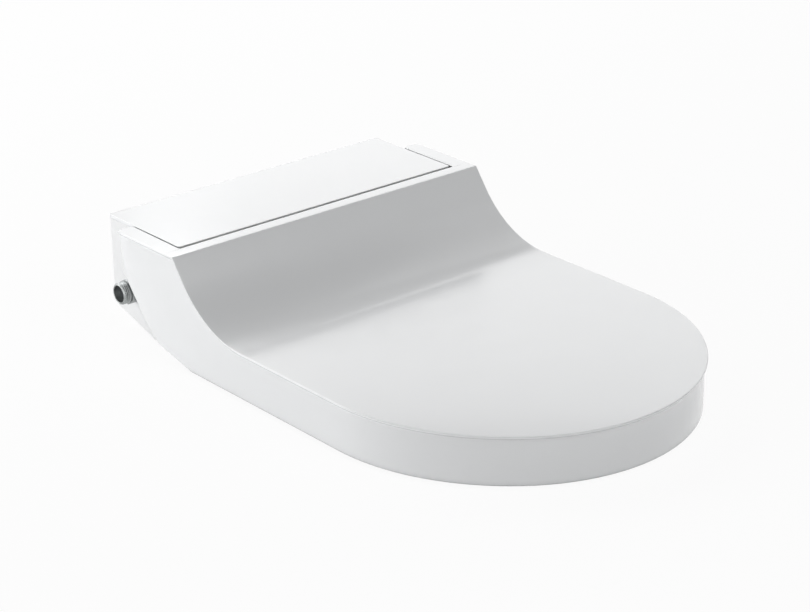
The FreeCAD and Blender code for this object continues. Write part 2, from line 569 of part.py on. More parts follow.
def rack_teeth():
    """One tooth gap under the pinion, repeated along the arm in steps of the pitch."""
    body = DOC.addObject("PartDesign::Body", "rack_gaps")
    sketch = sketch_in(body, "YZ_Plane", "rack_gap_outline")
    low = "spray_half - 2.4 * gear_module"
    polygon(sketch, [("-0.65 * gear_module", low), ("0.65 * gear_module", low),
                     ("1.3 * gear_module", "spray_half + 0.2"),
                     ("-1.3 * gear_module", "spray_half + 0.2")])
    pad = body.newObject("PartDesign::Pad", "rack_gap")
    pad.Profile = sketch
    pad.setExpression("Length", bound("pinion_width + 1"))
    DOC.recompute()
    pattern = body.newObject("PartDesign::LinearPattern", "rack_pattern")
    pattern.Originals = [pad]
    pattern.Direction = (sketch, ["H_Axis"])
    spaces = "floor((spray_length - pinion_place) / (pi * gear_module)) + lead_teeth"
    pattern.setExpression("Occurrences", bound(spaces))
    pattern.Mode = "Spacing"
    pattern.setExpression("Offset", bound("gear_module * pi"))
    body.Tip = pattern
    return place(body, x="-(pinion_width + 1) / 2", y="pinion_place - lead_teeth * pi * gear_module")


def make_spray_arm():
    """The arm with a rack in its top, its nozzle, its channel and its drive."""
    arm = box("arm_bar", ("-spray_half", "spray_half"), ("nozzle_length + gap", "spray_length"),
              ("-spray_half", "spray_half"))
    lead = rod("arm_waterway", "y", ("0", "nozzle_length", "-waterway_drop"), "spray_length",
               "waterway_radius")
    part(place(cut("arm_cut", arm, rack_teeth(), lead), **TILTED), "spray_arm")
    tip = box("tip_block", ("-spray_half", "spray_half"), ("0", "nozzle_length"),
              ("-spray_half", "spray_half"))
    jets = [rod(f"jet{index}", "z", ("0", f"{index + 1} * jet_pitch", "-spill"),
                "spray_half + 2 * spill", "jet_radius")
            for index in range(3)]
    part(place(cut("tip_cut", tip, *jets), **TILTED), "spray_nozzle")
    wall = "spray_half + gap + guide_wall"
    channel = box("guide_block", (f"-({wall})", wall), ("guide_start", "spray_length - 4"),
                  (f"-({wall})", "spray_half"))
    groove = box("guide_groove", ("-spray_half - gap", "spray_half + gap"),
                 ("guide_start - 1", "spray_length"), ("-spray_half - gap", "spray_half + 1"))
    part(place(cut("guide_cut", channel, groove), **TILTED), "spray_arm_guide")


def make_pinion():
    """A spur pinion on its motor shaft, in mesh with the rack, and its motor."""
    body = DOC.addObject("PartDesign::Body", "pinion_body")
    disc = sketch_in(body, "YZ_Plane", "pinion_disc")
    root = number("gear_module * pinion_teeth / 2 - 1.2 * gear_module")
    disc.addGeometry(Part.Circle(V(0, 0, 0), V(0, 0, 1), root))
    disc.addConstraint(Sketcher.Constraint("Coincident", 0, 3, -1, 1))
    index = disc.addConstraint(Sketcher.Constraint("Radius", 0, root))
    disc.renameConstraint(index, "root")
    disc.setExpression("Constraints.root",
                       bound("gear_module * pinion_teeth / 2 - 1.2 * gear_module"))
    pad = body.newObject("PartDesign::Pad", "pinion_core")
    pad.Profile = disc
    pad.setExpression("Length", bound("pinion_width"))
    tooth = sketch_in(body, "YZ_Plane", "tooth_outline")
    foot = "-(gear_module * pinion_teeth / 2 - 1.6 * gear_module)"
    tip = "-(gear_module * pinion_teeth / 2 + 0.9 * gear_module)"
    polygon(tooth, [("-0.95 * gear_module", foot), ("0.95 * gear_module", foot),
                    ("0.4 * gear_module", tip), ("-0.4 * gear_module", tip)])
    tooth_pad = body.newObject("PartDesign::Pad", "pinion_tooth")
    tooth_pad.Profile = tooth
    tooth_pad.setExpression("Length", bound("pinion_width"))
    DOC.recompute()
    pattern = body.newObject("PartDesign::PolarPattern", "pinion_pattern")
    pattern.Originals = [tooth_pad]
    pattern.Axis = (tooth, ["N_Axis"])
    pattern.Angle = 360
    pattern.setExpression("Occurrences", bound("pinion_teeth"))
    body.Tip = pattern
    place(body, x="-pinion_width / 2", y="pinion_place", z=PINION_UP)
    motor_x = "spray_half + gap + guide_wall + gap"
    shaft = rod("pinion_shaft", "x", ("pinion_width / 2 - spill", "pinion_place", PINION_UP),
                f"{motor_x} + drive_bore - pinion_width / 2", "drive_shaft")
    part(place(join("pinion_all", body, shaft), **TILTED), "drive_pinion")
    motor = rod("motor_can", "x", (motor_x, "pinion_place", PINION_UP), "drive_length", "drive_radius")
    bore = rod("motor_bore", "x", (f"{motor_x} - spill", "pinion_place", PINION_UP),
               "drive_bore + spill", "drive_shaft + running_fit")
    part(place(cut("motor_cut", motor, bore), **TILTED), "spray_drive_motor")


def make_water_side():
    """Inlet nipple, its nut and strainer, valve, heater and pump."""
    wall = HOUSE
    outer_end = f"(-{wall} - inlet_reach)"
    centre = ("inlet_back", "inlet_height")
    thread = rod("nipple_thread", "x", (outer_end, *centre), "inlet_reach - gap", "inlet_radius")
    spigot = rod("nipple_spigot", "x", (f"-{wall} - spill", *centre), "15", "spigot_radius")
    collar = DOC.addObject("Part::Prism", "nipple_collar")
    collar.Polygon = 6
    collar.setExpression("Circumradius", bound("collar_radius"))
    collar.setExpression("Height", bound("collar_length"))
    place(collar, f"-{wall} - gap - collar_length", *centre, turn=AXIS_TURNS["x"])
    bore = rod("nipple_bore", "x", (f"{outer_end} - spill", *centre), "inlet_reach - 2 * spill",
               "inlet_bore")
    way = rod("nipple_way", "x", (outer_end, *centre), "2 * inlet_reach", "inlet_bore - 2")
    part(cut("nipple_cut", join("nipple_solid", thread, spigot, collar), bore, way),
         "water_inlet_nipple")
    mesh_radius = "(inlet_bore - key_fit * 10)"
    strainer = rod("strainer_disc", "x", (f"{outer_end} + strainer_depth", *centre),
                   "strainer_length", mesh_radius)
    mesh = rod("strainer_room", "x", (f"{outer_end} + strainer_depth - spill", *centre),
               "strainer_length - spill", f"{mesh_radius} - strainer_wall")
    part(cut("strainer_cut", strainer, mesh), "inlet_strainer")
    nut = DOC.addObject("Part::Prism", "nut_hexagon")
    nut.Polygon = 6
    nut.setExpression("Circumradius", bound("collar_radius"))
    nut.setExpression("Height", bound("nut_length"))
    place(nut, f"-{wall} + shell_wall + gap / 2", *centre, turn=AXIS_TURNS["x"])
    nut_bore = rod("nut_bore", "x", (f"-{wall}", *centre), "2 * nut_length + 2", "spigot_radius + key_fit")
    part(cut("nut_cut", nut, nut_bore), "inlet_nut")
    valve_left = f"-{wall} + valve_side"
    block = box("valve_block", (valve_left, f"{valve_left} + valve_width"),
                ("inlet_back - valve_width / 2", "inlet_back + valve_width / 2"),
                ("inlet_height - valve_below", "inlet_height + valve_above"))
    coil = rod("valve_coil", "z", (f"{valve_left} + valve_width / 2", "inlet_back",
                                   "inlet_height + valve_above - spill"),
               "coil_rise + spill", "coil_radius")
    part(join("valve_all", block, coil), "solenoid_valve")
    part(box("heater_block", ("-flow_far", "-flow_near"), ("-flow_front", "flow_rear"),
             ("floor_height + gap", "flow_high")), "flow_heater")
    can = rod("pump_can", "x", ("-pump_far", "pump_back", "pump_height"), "pump_length", "pump_radius")
    foot = box("pump_foot", ("-pump_foot_far", "pump_foot_width - pump_foot_far"),
               ("pump_back - pump_foot_half", "pump_back + pump_foot_half"),
               ("pump_foot_low", "pump_height - pump_radius + 4"))
    part(join("pump_all", can, foot), "water_pump")


def tube(label, points, radius):
    """A hose along straight runs joined by tangent arcs."""
    corners = [V(*point) for point in points]
    edges = []
    start = corners[0]
    for before, here, after in zip(corners, corners[1:], corners[2:]):
        back = (before - here).normalize()
        ahead = (after - here).normalize()
        turn = math.pi - back.getAngle(ahead)
        trim = 0.45 * min((before - here).Length, (after - here).Length)
        arc_radius = trim / math.tan(turn / 2)
        first = here + back * trim
        last = here + ahead * trim
        middle_way = (back + ahead).normalize()
        centre_gap = math.hypot(arc_radius, trim)
        middle = here + middle_way * (centre_gap - arc_radius)
        edges.append(Part.LineSegment(start, first).toShape())
        edges.append(Part.Arc(first, middle, last).toShape())
        start = last
    edges.append(Part.LineSegment(start, corners[-1]).toShape())
    path = Part.Wire(edges)
    section = Part.Wire([Part.Circle(corners[0], corners[1] - corners[0], radius).toShape()])
    item = DOC.addObject("Part::Feature", label + "_route")
    item.Shape = path.makePipeShell([section], True, True)
    expected = math.pi * radius ** 2 * path.Length
    if abs(item.Shape.Volume - expected) > 0.01 * expected:
        raise RuntimeError(f"{label} doesn't fill its route")
    return part(item, label)


def make_hoses():
    """The water's way from the valve through the heater and the pump to the arm."""
    radius = number("hose_radius")
    gap = number("gap")
    side = -number("hose_side")
    valve_right = number(f"valve_side + valve_width - {HOUSE}") + gap
    valve_back = number("inlet_back - 2")
    low = number("inlet_height - 8")
    tube("supply_hose", [(valve_right, valve_back, low), (side, valve_back, low),
                         (side, number("flow_rear") + gap, low)], radius)
    front = number("hose_front")
    back = number("pump_back")
    top = number("hose_top")
    tube("heater_hose", [(side, front, number("flow_high") + gap), (side, front, top),
                         (side, back, top), (side, back, number("pump_height + pump_radius") + gap)],
         radius)
    arm_side = -number("spray_half + gap + guide_wall") - gap
    turn_side = -number("nozzle_hose_side")
    turn_back = number("nozzle_hose_back")
    start_high = number("nozzle_hose_high")
    guide_high = number("spray_height + (nose_reach + nozzle_hose_back) * tan(spray_tilt)")
    tube("nozzle_hose", [(number("pump_length - pump_far") + gap, back, start_high),
                         (turn_side, back, start_high), (turn_side, turn_back, guide_high),
                         (arm_side, turn_back, guide_high)], radius - 1)


def mirrored(sign, near, far):
    """A span on the right, or the same span on the left."""
    return (near, far) if sign > 0 else (f"-({far})", f"-({near})")


def make_fan(sign, word):
    """A radial fan: scroll housing, bladed wheel, motor and the duct to the nose."""
    centre = ("fan_back", "fan_height")
    near, far = mirrored(sign, "fan_near", "fan_far")
    length = "fan_far - fan_near"
    drum = rod(f"{word}_drum", "x", (near, *centre), length, "fan_radius")
    room = rod(f"{word}_room", "x", (f"{near} + fan_wall", *centre), f"{length} - 2 * fan_wall",
               "fan_radius - fan_wall")
    eye_start = f"{far} - fan_wall - spill" if sign > 0 else f"{near} - spill"
    eye = rod(f"{word}_eye", "x", (eye_start, *centre), "fan_wall + 2 * spill", "fan_eye")
    hub_start = f"{near} - spill" if sign > 0 else f"{far} - fan_wall - spill"
    hub_hole = rod(f"{word}_hub_hole", "x", (hub_start, *centre), "fan_wall + 2 * spill", "hub_hole")
    mouth_x = mirrored(sign, "fan_near + mouth_inset", "fan_far - mouth_inset")
    mouth_y = ("fan_back - fan_mouth", "fan_back + fan_mouth")
    low_hole = box(f"{word}_outlet", mouth_x, mouth_y,
                   ("fan_height - fan_radius - spill", "fan_height - fan_radius + 3 * fan_wall"))
    part(cut(f"{word}_housing_cut", drum, room, eye, hub_hole, low_hole), f"{word}_fan_housing")
    wheel_near, wheel_far = mirrored(sign, "fan_near + fan_wall + wheel_near",
                                     "fan_far - fan_wall - wheel_end")
    wheel_length = f"({wheel_far}) - ({wheel_near})"
    plate_start = wheel_near if sign > 0 else f"({wheel_far}) - wheel_plate"
    plate = rod(f"{word}_back_plate", "x", (plate_start, *centre), "wheel_plate",
                "fan_radius - fan_wall - wheel_clear")
    motor_near, motor_far = mirrored(sign, "fan_near - fan_motor_length", "fan_near - gap")
    shaft_near, shaft_far = mirrored(sign, "fan_near - 8", "fan_near + fan_wall + wheel_near + 4")
    shaft = rod(f"{word}_shaft", "x", (shaft_near, *centre), f"({shaft_far}) - ({shaft_near})",
                "fan_shaft")
    blades = []
    for index in range(int(number("blade_count"))):
        blade = box(f"{word}_blade{index}", ("0", wheel_length), ("-blade_half", "blade_half"),
                    ("fan_eye", "fan_radius - fan_wall - wheel_clear - blade_half + 0.1"))
        turned = DOC.addObject("Part::Compound", f"{word}_blade_turned{index}")
        turned.Links = [blade]
        blades.append(place(turned, wheel_near, *centre,
                            turn=((1, 0, 0), f"{index} * 360 / blade_count + blade_turn")))
    part(join(f"{word}_wheel_all", plate, shaft, *blades), f"{word}_fan_wheel")
    can = rod(f"{word}_motor_can", "x", (motor_near, *centre), f"({motor_far}) - ({motor_near})",
              "fan_motor_radius")
    bore_start = f"{motor_near} + 6" if sign > 0 else f"{motor_near} - spill"
    bore = rod(f"{word}_motor_bore", "x", (bore_start, *centre), "fan_near - 16",
               "fan_shaft + running_fit")
    part(cut(f"{word}_motor_cut", can, bore), f"{word}_fan_motor")
    duct = box(f"{word}_duct_block", mirrored(sign, "port_near - 2", "port_far + 2"),
               ("-nose_reach + nose_wall + gap", "fan_back + duct_rear"),
               ("floor_height + gap", "duct_high"))
    duct_room = box(f"{word}_duct_room", mirrored(sign, "port_near", "port_far"),
                    ("-nose_reach", "fan_back + duct_rear - 2"),
                    ("floor_height + gap + duct_wall", "duct_high - duct_wall"))
    duct_hole = box(f"{word}_duct_hole", mouth_x, mouth_y, ("duct_high - 2", "duct_high + spill"))
    part(cut(f"{word}_duct_cut", duct, duct_room, duct_hole), f"{word}_duct")


def make_filter():
    """The odour filter in its drawer, the drawer's case and the duct that feeds it."""
    side = HOUSE
    rim = "(case_wall + gap)"
    case = box("case_block", ("case_inner", f"{side} - shell_wall - gap"),
               (f"drawer_front - {rim}", f"drawer_rear + {rim}"),
               (f"drawer_low - {rim}", f"drawer_high + {rim}"))
    room = box("case_room", ("case_inner + case_wall", f"{side}"),
               ("drawer_front - gap", "drawer_rear + gap"), ("drawer_low - gap", "drawer_high + gap"))
    mouth_y = ("drawer_front + case_mouth", "drawer_rear - case_mouth")
    mouth_z = ("drawer_low + case_mouth", "drawer_high - case_mouth")
    mouth = box("case_mouth_cut", ("case_inner - spill", "case_inner + case_wall + spill"),
                mouth_y, mouth_z)
    part(cut("case_cut", case, room, mouth), "filter_case")
    tray = box("drawer_block", ("drawer_inner", side), ("drawer_front", "drawer_rear"),
               ("drawer_low", "drawer_high"))
    tray_room = box("drawer_room", ("drawer_inner - spill", f"{side} - tray_front"),
                    ("drawer_front + tray_wall", "drawer_rear - tray_wall"),
                    ("drawer_low + tray_wall", "drawer_high + spill"))
    grip = rod("drawer_grip", "y", (f"{side} + grip_radius - grip_deep", "drawer_front + grip_inset",
                                    "(drawer_low + drawer_high) / 2"),
               "drawer_rear - drawer_front - 2 * grip_inset", "grip_radius")
    part(cut("drawer_cut", tray, tray_room, grip), "filter_drawer")
    part(box("filter_block", ("drawer_inner + gap", f"{side} - tray_front - gap"),
             ("drawer_front + tray_wall + gap", "drawer_rear - tray_wall - gap"),
             ("drawer_low + tray_wall + gap", "drawer_high - 1")), "odour_filter")
    wall = "duct_wall"
    duct = box("filter_duct_block", ("fan_far + gap", "case_inner - gap"),
               ("fan_back - filter_duct_half", "drawer_rear + filter_duct_rear"),
               ("fan_height - filter_duct_low", "fan_height + filter_duct_half"))
    duct_room = box("filter_duct_room", (f"fan_far + gap + {wall}", f"case_inner - gap - {wall}"),
                    (f"fan_back - filter_duct_half + {wall}", f"drawer_rear + filter_duct_rear - {wall}"),
                    (f"fan_height - filter_duct_low + {wall}", f"fan_height + filter_duct_half - {wall}"))
    first = rod("filter_duct_in", "x", ("fan_far - spill", "fan_back", "fan_height"), "4 * spill",
                "duct_eye")
    last = box("filter_duct_out", ("case_inner - 3 * spill", "case_inner + spill"), mouth_y, mouth_z)
    part(cut("filter_duct_cut", duct, duct_room, first, last), "filter_duct")


def make_controls():
    """Control board, power supply and inlet, and two push buttons with their springs."""
    board_top = "(board_height + board_thick)"
    board = box("board_plate", ("-board_left", "board_right"), ("board_front", "board_rear"),
                ("board_height", board_top))
    chips = [box(f"board_chip{index}", (x, f"{x} + chip_wide"), (y, f"{y} + chip_long"),
                 (f"{board_top} - 0.5", f"{board_top} + chip_high"))
             for index, (x, y) in enumerate((("-20", "30"), ("30", "70"), ("60", "30")))]
    part(join("board_all", board, *chips), "control_board")
    part(box("supply_block", ("supply_left", "supply_right"), ("supply_front", "rear_reach - supply_gap"),
             ("supply_low", "supply_high")), "power_supply")
    rear = "rear_reach - rear_drop"
    socket_height = "inlet_height + socket_rise"
    flange = rod("inlet_flange", "y", ("socket_side", rear, socket_height), "rear_drop", "socket_flange")
    body = rod("inlet_body", "y", ("socket_side", "rear_reach - supply_gap + gap", socket_height), "4",
               "socket_radius")
    part(join("power_inlet_all", flange, body), "power_inlet")
    face = f"{HOUSE} + button_proud"
    for index, word in enumerate(("power", "wash")):
        height = f"button_low + {index} * button_pitch"
        cap = rod(f"{word}_cap", "x", (f"{face} - button_length", "button_back", height),
                  "button_length", "button_radius")
        collar = rod(f"{word}_collar", "x", (f"{face} - button_length - gap", "button_back", height),
                     "flange_thick", "button_radius + button_flange")
        part(join(f"{word}_button_all", cap, collar), f"{word}_button")
    carrier_z = ("button_low - switch_margin", "button_low + button_pitch + switch_margin")
    carrier = box("switch_carrier", (f"{face} - switch_deep", f"{face} - switch_deep + switch_thick"),
                  ("button_back - switch_margin", "button_back + switch_margin"), carrier_z)
    hooks = [box(f"switch_arm{index}", (f"{face} - switch_deep", f"{HOUSE} - shell_wall - gap"),
                 (y, f"{y} + hook_thick"), carrier_z)
             for index, y in enumerate(("button_back - switch_margin - hook_thick",
                                        "button_back + switch_margin"))]
    part(join("switch_board_all", carrier, *hooks), "switch_board")
    domes = [rod(f"switch_dome{index}", "x",
                 (f"{face} - switch_deep + switch_thick", "button_back",
                  f"button_low + {index} * button_pitch"), "dome_reach", "dome_radius")
             for index in range(2)]
    part(join("switch_dome_set", *domes), "switch_domes")
    part(rod("board_lead_run", "z", ("lead_side", "lead_back", "supply_high + gap"),
             "board_height - supply_high - 2 * gap", "lead_radius"), "board_lead")
    part(box("sensor_block", ("-sensor_half", "sensor_half"), ("-front_foot", "sensor_deep - front_foot"),
             ("sensor_low", "sensor_high")), "presence_window")


SCREW_PLACES = (("-screw_side", "-screw_front"), ("screw_side", "-screw_front"),
                ("-screw_side", "screw_rear"), ("screw_middle", "screw_rear"))


def screw_rods(name, start, length, radius):
    """The same upright rod at each of the shells' screws."""
    return [rod(f"{name}{index}", "z", (x, y, start), length, radius)
            for index, (x, y) in enumerate(SCREW_PLACES)]


def make_screws():
    """Four screws that hold the two shells together from below."""
    head_low = "split_height - head_drop"
    shanks = screw_rods("screw_shank", f"{head_low} + head_high - spill",
                        "head_drop - head_high + spill + thread_reach", "screw_radius")
    heads = screw_rods("screw_head", head_low, "head_high", "2 * screw_radius")
    part(join("shell_screw_set", *shanks, *heads), "shell_screws")


def check_and_write():
    """Stop on a failed object or an unsound shape, then write one file per sub-part."""
    DOC.recompute()
    failed = [item.Name for item in DOC.Objects if {"Invalid", "Error"} & set(item.State)]
    if failed:
        raise RuntimeError(f"failed objects: {failed}")
    os.makedirs("parts", exist_ok=True)
    for item in PARTS:
        shape = item.Shape
        if shape.isNull() or not shape.isValid() or shape.Volume <= 0:
            raise RuntimeError(f"{item.Label} has no sound shape")
        shape.exportStep(f"parts/{item.Label}.step")
        print(f"{item.Label}: {len(shape.Solids)} solid(s), {shape.Volume / 1000:.2f} cm3")
    print(f"{len(PARTS)} parts")


def main():
    make_mounting_plate()
    make_base_shell()
    make_top_shell()
    make_design_cover()
    make_lid()
    make_seat_ring()
    make_buffers()
    make_hinge()
    make_spray_arm()
    make_pinion()
    make_water_side()
    make_hoses()
    make_fan(-1, "dryer")
    make_fan(1, "odour")
    make_filter()
    make_controls()
    make_screws()
    check_and_write()


main()
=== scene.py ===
import json
import logging
import math
from dataclasses import dataclass, field
from enum import Enum
from typing import Any, Callable, Optional, Sequence

import bmesh
import bpy
import numpy as np
from mathutils import Matrix, Vector


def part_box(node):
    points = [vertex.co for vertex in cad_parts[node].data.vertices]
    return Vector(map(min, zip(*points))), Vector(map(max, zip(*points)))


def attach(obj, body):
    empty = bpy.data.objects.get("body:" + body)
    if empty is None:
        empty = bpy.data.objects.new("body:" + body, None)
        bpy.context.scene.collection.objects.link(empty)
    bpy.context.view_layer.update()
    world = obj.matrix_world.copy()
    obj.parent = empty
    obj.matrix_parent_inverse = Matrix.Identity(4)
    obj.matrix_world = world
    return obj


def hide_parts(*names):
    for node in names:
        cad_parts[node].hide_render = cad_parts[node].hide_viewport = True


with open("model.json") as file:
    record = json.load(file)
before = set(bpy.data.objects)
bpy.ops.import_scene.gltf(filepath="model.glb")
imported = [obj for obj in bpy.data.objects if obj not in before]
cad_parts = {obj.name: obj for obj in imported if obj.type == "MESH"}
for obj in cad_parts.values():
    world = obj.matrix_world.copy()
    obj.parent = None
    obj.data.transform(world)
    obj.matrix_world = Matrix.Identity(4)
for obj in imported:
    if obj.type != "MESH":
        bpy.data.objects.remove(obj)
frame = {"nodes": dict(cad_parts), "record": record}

LOG = logging.getLogger("bidet_seat")
MM = 0.001
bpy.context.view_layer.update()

HINGE = (54 * MM, 87 * MM)
MIDDLE = (0.0, -0.16, 0.04)

Triple = tuple[float, float, float]
Colour = Triple


# ---------------------------------------------------------------- shader graph


class Signal:
    """A shader value whose arithmetic adds Math nodes to its graph."""

    def __init__(self, graph: "ShaderGraph", socket: bpy.types.NodeSocket) -> None:
        """Wrap a socket.

        Args:
            graph: the graph that the socket belongs to.
            socket: an output socket that carries one number.
        """
        self.graph = graph
        self.socket = socket

    def _math(self, operation: str, *values: Any) -> "Signal":
        """Add one Math node.

        Args:
            operation: the Math node's operation.
            values: its inputs in order, numbers or signals.

        Returns:
            The node's result.
        """
        node = self.graph.add("ShaderNodeMath", {"operation": operation},
                              dict(enumerate(values)))
        return Signal(self.graph, node.outputs[0])

    def __add__(self, other: Any) -> "Signal":
        """This value plus another."""
        return self._math("ADD", self, other)

    def __sub__(self, other: Any) -> "Signal":
        """This value less another."""
        return self._math("SUBTRACT", self, other)

    def __rsub__(self, other: Any) -> "Signal":
        """A number less this value."""
        return self._math("SUBTRACT", other, self)

    def __mul__(self, other: Any) -> "Signal":
        """This value times another."""
        return self._math("MULTIPLY", self, other)

    def __truediv__(self, other: Any) -> "Signal":
        """This value over another."""
        return self._math("DIVIDE", self, other)

    def __pow__(self, other: Any) -> "Signal":
        """This value to a power."""
        return self._math("POWER", self, other)

    def __mod__(self, other: Any) -> "Signal":
        """This value's positive remainder."""
        return self._math("FLOORED_MODULO", self, other)

    def __abs__(self) -> "Signal":
        """This value without its sign."""
        return self._math("ABSOLUTE", self)

    def sine(self) -> "Signal":
        """The sine of this value in radians."""
        return self._math("SINE", self)

    def above(self, level: Any) -> "Signal":
        """1 where this value is over a level, else 0."""
        return self._math("GREATER_THAN", self, level)

    def lesser(self, other: Any) -> "Signal":
        """The smaller of this value and another."""
        return self._math("MINIMUM", self, other)

    def greater(self, other: Any) -> "Signal":
        """The larger of this value and another."""
        return self._math("MAXIMUM", self, other)

    def ramp(self, low: float, high: float, start: float = 0.0, end: float = 1.0) -> "Signal":
        """Map a range smoothly onto another.

        Args:
            low: the value that becomes start.
            high: the value that becomes end.
            start: the result at and below low.
            end: the result at and above high.

        Returns:
            The mapped value.
        """
        node = self.graph.add("ShaderNodeMapRange", {"interpolation_type": "SMOOTHSTEP"},
                              {0: self, 1: low, 2: high, 3: start, 4: end})
        return Signal(self.graph, node.outputs[0])


class ShaderGraph:
    """One material's or world's node tree, built from plain calls."""

    def __init__(self, tree: bpy.types.NodeTree) -> None:
        """Take over a node tree and empty it.

        Args:
            tree: the tree to build in.
        """
        self.tree = tree
        self.tree.nodes.clear()

    def add(self, kind: str, settings: Optional[dict[str, Any]] = None,
            inputs: Optional[dict[Any, Any]] = None) -> bpy.types.Node:
        """Add a node, set it and feed it.

        Args:
            kind: the node's type name.
            settings: its properties by name.
            inputs: socket name or number to a value, a Signal or a socket.

        Returns:
            The node.
        """
        node = self.tree.nodes.new(kind)
        for name, value in (settings or {}).items():
            setattr(node, name, value)
        for key, value in (inputs or {}).items():
            if isinstance(value, Signal):
                self.tree.links.new(value.socket, node.inputs[key])
            elif isinstance(value, bpy.types.NodeSocket):
                self.tree.links.new(value, node.inputs[key])
            else:
                node.inputs[key].default_value = value
        return node

    def place(self, scale: Triple = (1.0, 1.0, 1.0),
              turn: Triple = (0.0, 0.0, 0.0)) -> bpy.types.NodeSocket:
        """Object coordinates through a Mapping node.

        Args:
            scale: factor on each axis.
            turn: rotation about each axis in radians.

        Returns:
            The mapped coordinates.
        """
        source = self.add("ShaderNodeTexCoord")
        mapping = self.add("ShaderNodeMapping", None,
                           {"Vector": source.outputs["Object"], "Scale": scale,
                            "Rotation": turn})
        return mapping.outputs["Vector"]

    def split(self, vector: bpy.types.NodeSocket) -> tuple[Signal, Signal, Signal]:
        """A vector's three numbers."""
        node = self.add("ShaderNodeSeparateXYZ", None, {0: vector})
        return tuple(Signal(self, node.outputs[index]) for index in range(3))

    def noise(self, scale: float, detail: float = 2.0, rough: float = 0.5,
              vector: Optional[bpy.types.NodeSocket] = None) -> Signal:
        """Fractal noise on Object coordinates.

        Args:
            scale: cells per metre.
            detail: octaves.
            rough: how much each octave keeps.
            vector: coordinates, or None for plain Object coordinates.

        Returns:
            Noise about 0.5.
        """
        node = self.add("ShaderNodeTexNoise", None,
                        {"Vector": vector or self.place(), "Scale": scale,
                         "Detail": detail, "Roughness": rough})
        return Signal(self, node.outputs[0])

    def cells(self, scale: float, feature: str = "F1", randomness: float = 1.0) -> Signal:
        """Distance in a cell pattern.

        Args:
            scale: cells per metre.
            feature: F1 for centres or DISTANCE_TO_EDGE for walls.
            randomness: 0 for a regular pattern.

        Returns:
            The distance.
        """
        node = self.add("ShaderNodeTexVoronoi", {"feature": feature},
                        {"Vector": self.place(), "Scale": scale, "Randomness": randomness})
        return Signal(self, node.outputs["Distance"])

    def blend(self, share: Any, first: Any, second: Any) -> bpy.types.NodeSocket:
        """Mix two colours.

        Args:
            share: how much of the second colour shows.
            first: a colour or a colour socket.
            second: a colour or a colour socket.

        Returns:
            The mixed colour.
        """
        fed = {index: (*value, 1.0) if isinstance(value, tuple) else value
               for index, value in ((0, share), (6, first), (7, second))}
        return self.add("ShaderNodeMix", {"data_type": "RGBA"}, fed).outputs[2]

    def edge_share(self, radius: float) -> Signal:
        """How near a point is to a convex or hollow edge, from the rounded normal.

        Args:
            radius: reach of the edge in metres.

        Returns:
            0 on flat ground, rising towards 1 on an edge.
        """
        rounded = self.add("ShaderNodeBevel", {"samples": 4}, {"Radius": radius})
        plain = self.add("ShaderNodeNewGeometry")
        dot = self.add("ShaderNodeVectorMath", {"operation": "DOT_PRODUCT"},
                       {0: rounded.outputs[0], 1: plain.outputs["Normal"]})
        return ((1.0 - Signal(self, dot.outputs["Value"])) * 4.0).lesser(1.0)

    def shelter(self, reach: float) -> Signal:
        """How much of the sky near a point is shut off by close surfaces.

        Args:
            reach: how far surfaces count, in metres.

        Returns:
            0 in the open, rising towards 1 in a seam.
        """
        open_sky = self.add("ShaderNodeAmbientOcclusion", {"samples": 6}, {"Distance": reach})
        return 1.0 - Signal(self, open_sky.outputs["AO"])

    def directly_seen(self) -> Signal:
        """1 where the camera sees a point, straight, mirrored or through glass, else 0."""
        path = self.add("ShaderNodeLightPath")
        camera, mirrored, through = (Signal(self, path.outputs[f"Is {ray} Ray"])
                                     for ray in ("Camera", "Glossy", "Transmission"))
        return camera.greater(mirrored).greater(through)

    def bump(self, height: Signal, strength: float, distance: float) -> bpy.types.NodeSocket:
        """A Bump node.

        Args:
            height: the height field.
            strength: share of the bump that shows.
            distance: metres for a height of 1.

        Returns:
            The bumped normal.
        """
        node = self.add("ShaderNodeBump", None,
                        {"Height": height, "Strength": strength, "Distance": distance})
        return node.outputs["Normal"]

    def surface(self, **inputs: Any) -> bpy.types.Node:
        """A Principled shader on the output, fed by socket name with _ for spaces.

        Args:
            inputs: values, signals or sockets by socket name.

        Returns:
            The Principled node.
        """
        fed = {name.replace("_", " "): value for name, value in inputs.items()}
        for name, value in fed.items():
            if isinstance(value, tuple) and len(value) == 3:
                fed[name] = (*value, 1.0)
        shader = self.add("ShaderNodeBsdfPrincipled", None, fed)
        self.add("ShaderNodeOutputMaterial", None, {"Surface": shader.outputs[0]})
        return shader


# -------------------------------------------------------------------- finishes


@dataclass(frozen=True)
class Finish:
    """What every finish holds: a base colour and how rough it is."""

    colour: Colour
    rough: float

    def shade(self, graph: ShaderGraph) -> None:
        """Build the finish's nodes.

        Args:
            graph: the empty graph of the finish's material.
        """
        raise NotImplementedError

    def tone(self, factor: float, lift: float = 0.0) -> Colour:
        """The base colour times a factor plus a lift, at most 1."""
        return tuple(min(1.0, channel * factor + lift) for channel in self.colour)

    def uneven(self, signal: Signal, low: float, high: float, least: float,
               most: float) -> Signal:
        """The roughness times least to most, as a signal goes from low to high."""
        return signal.ramp(low, high, self.rough * least, self.rough * most)

    def material(self, name: str) -> bpy.types.Material:
        """Make the finish into a material.

        Args:
            name: the material's name.

        Returns:
            The material.
        """
        made = bpy.data.materials.new(name)
        made.use_nodes = True
        self.shade(ShaderGraph(made.node_tree))
        return made


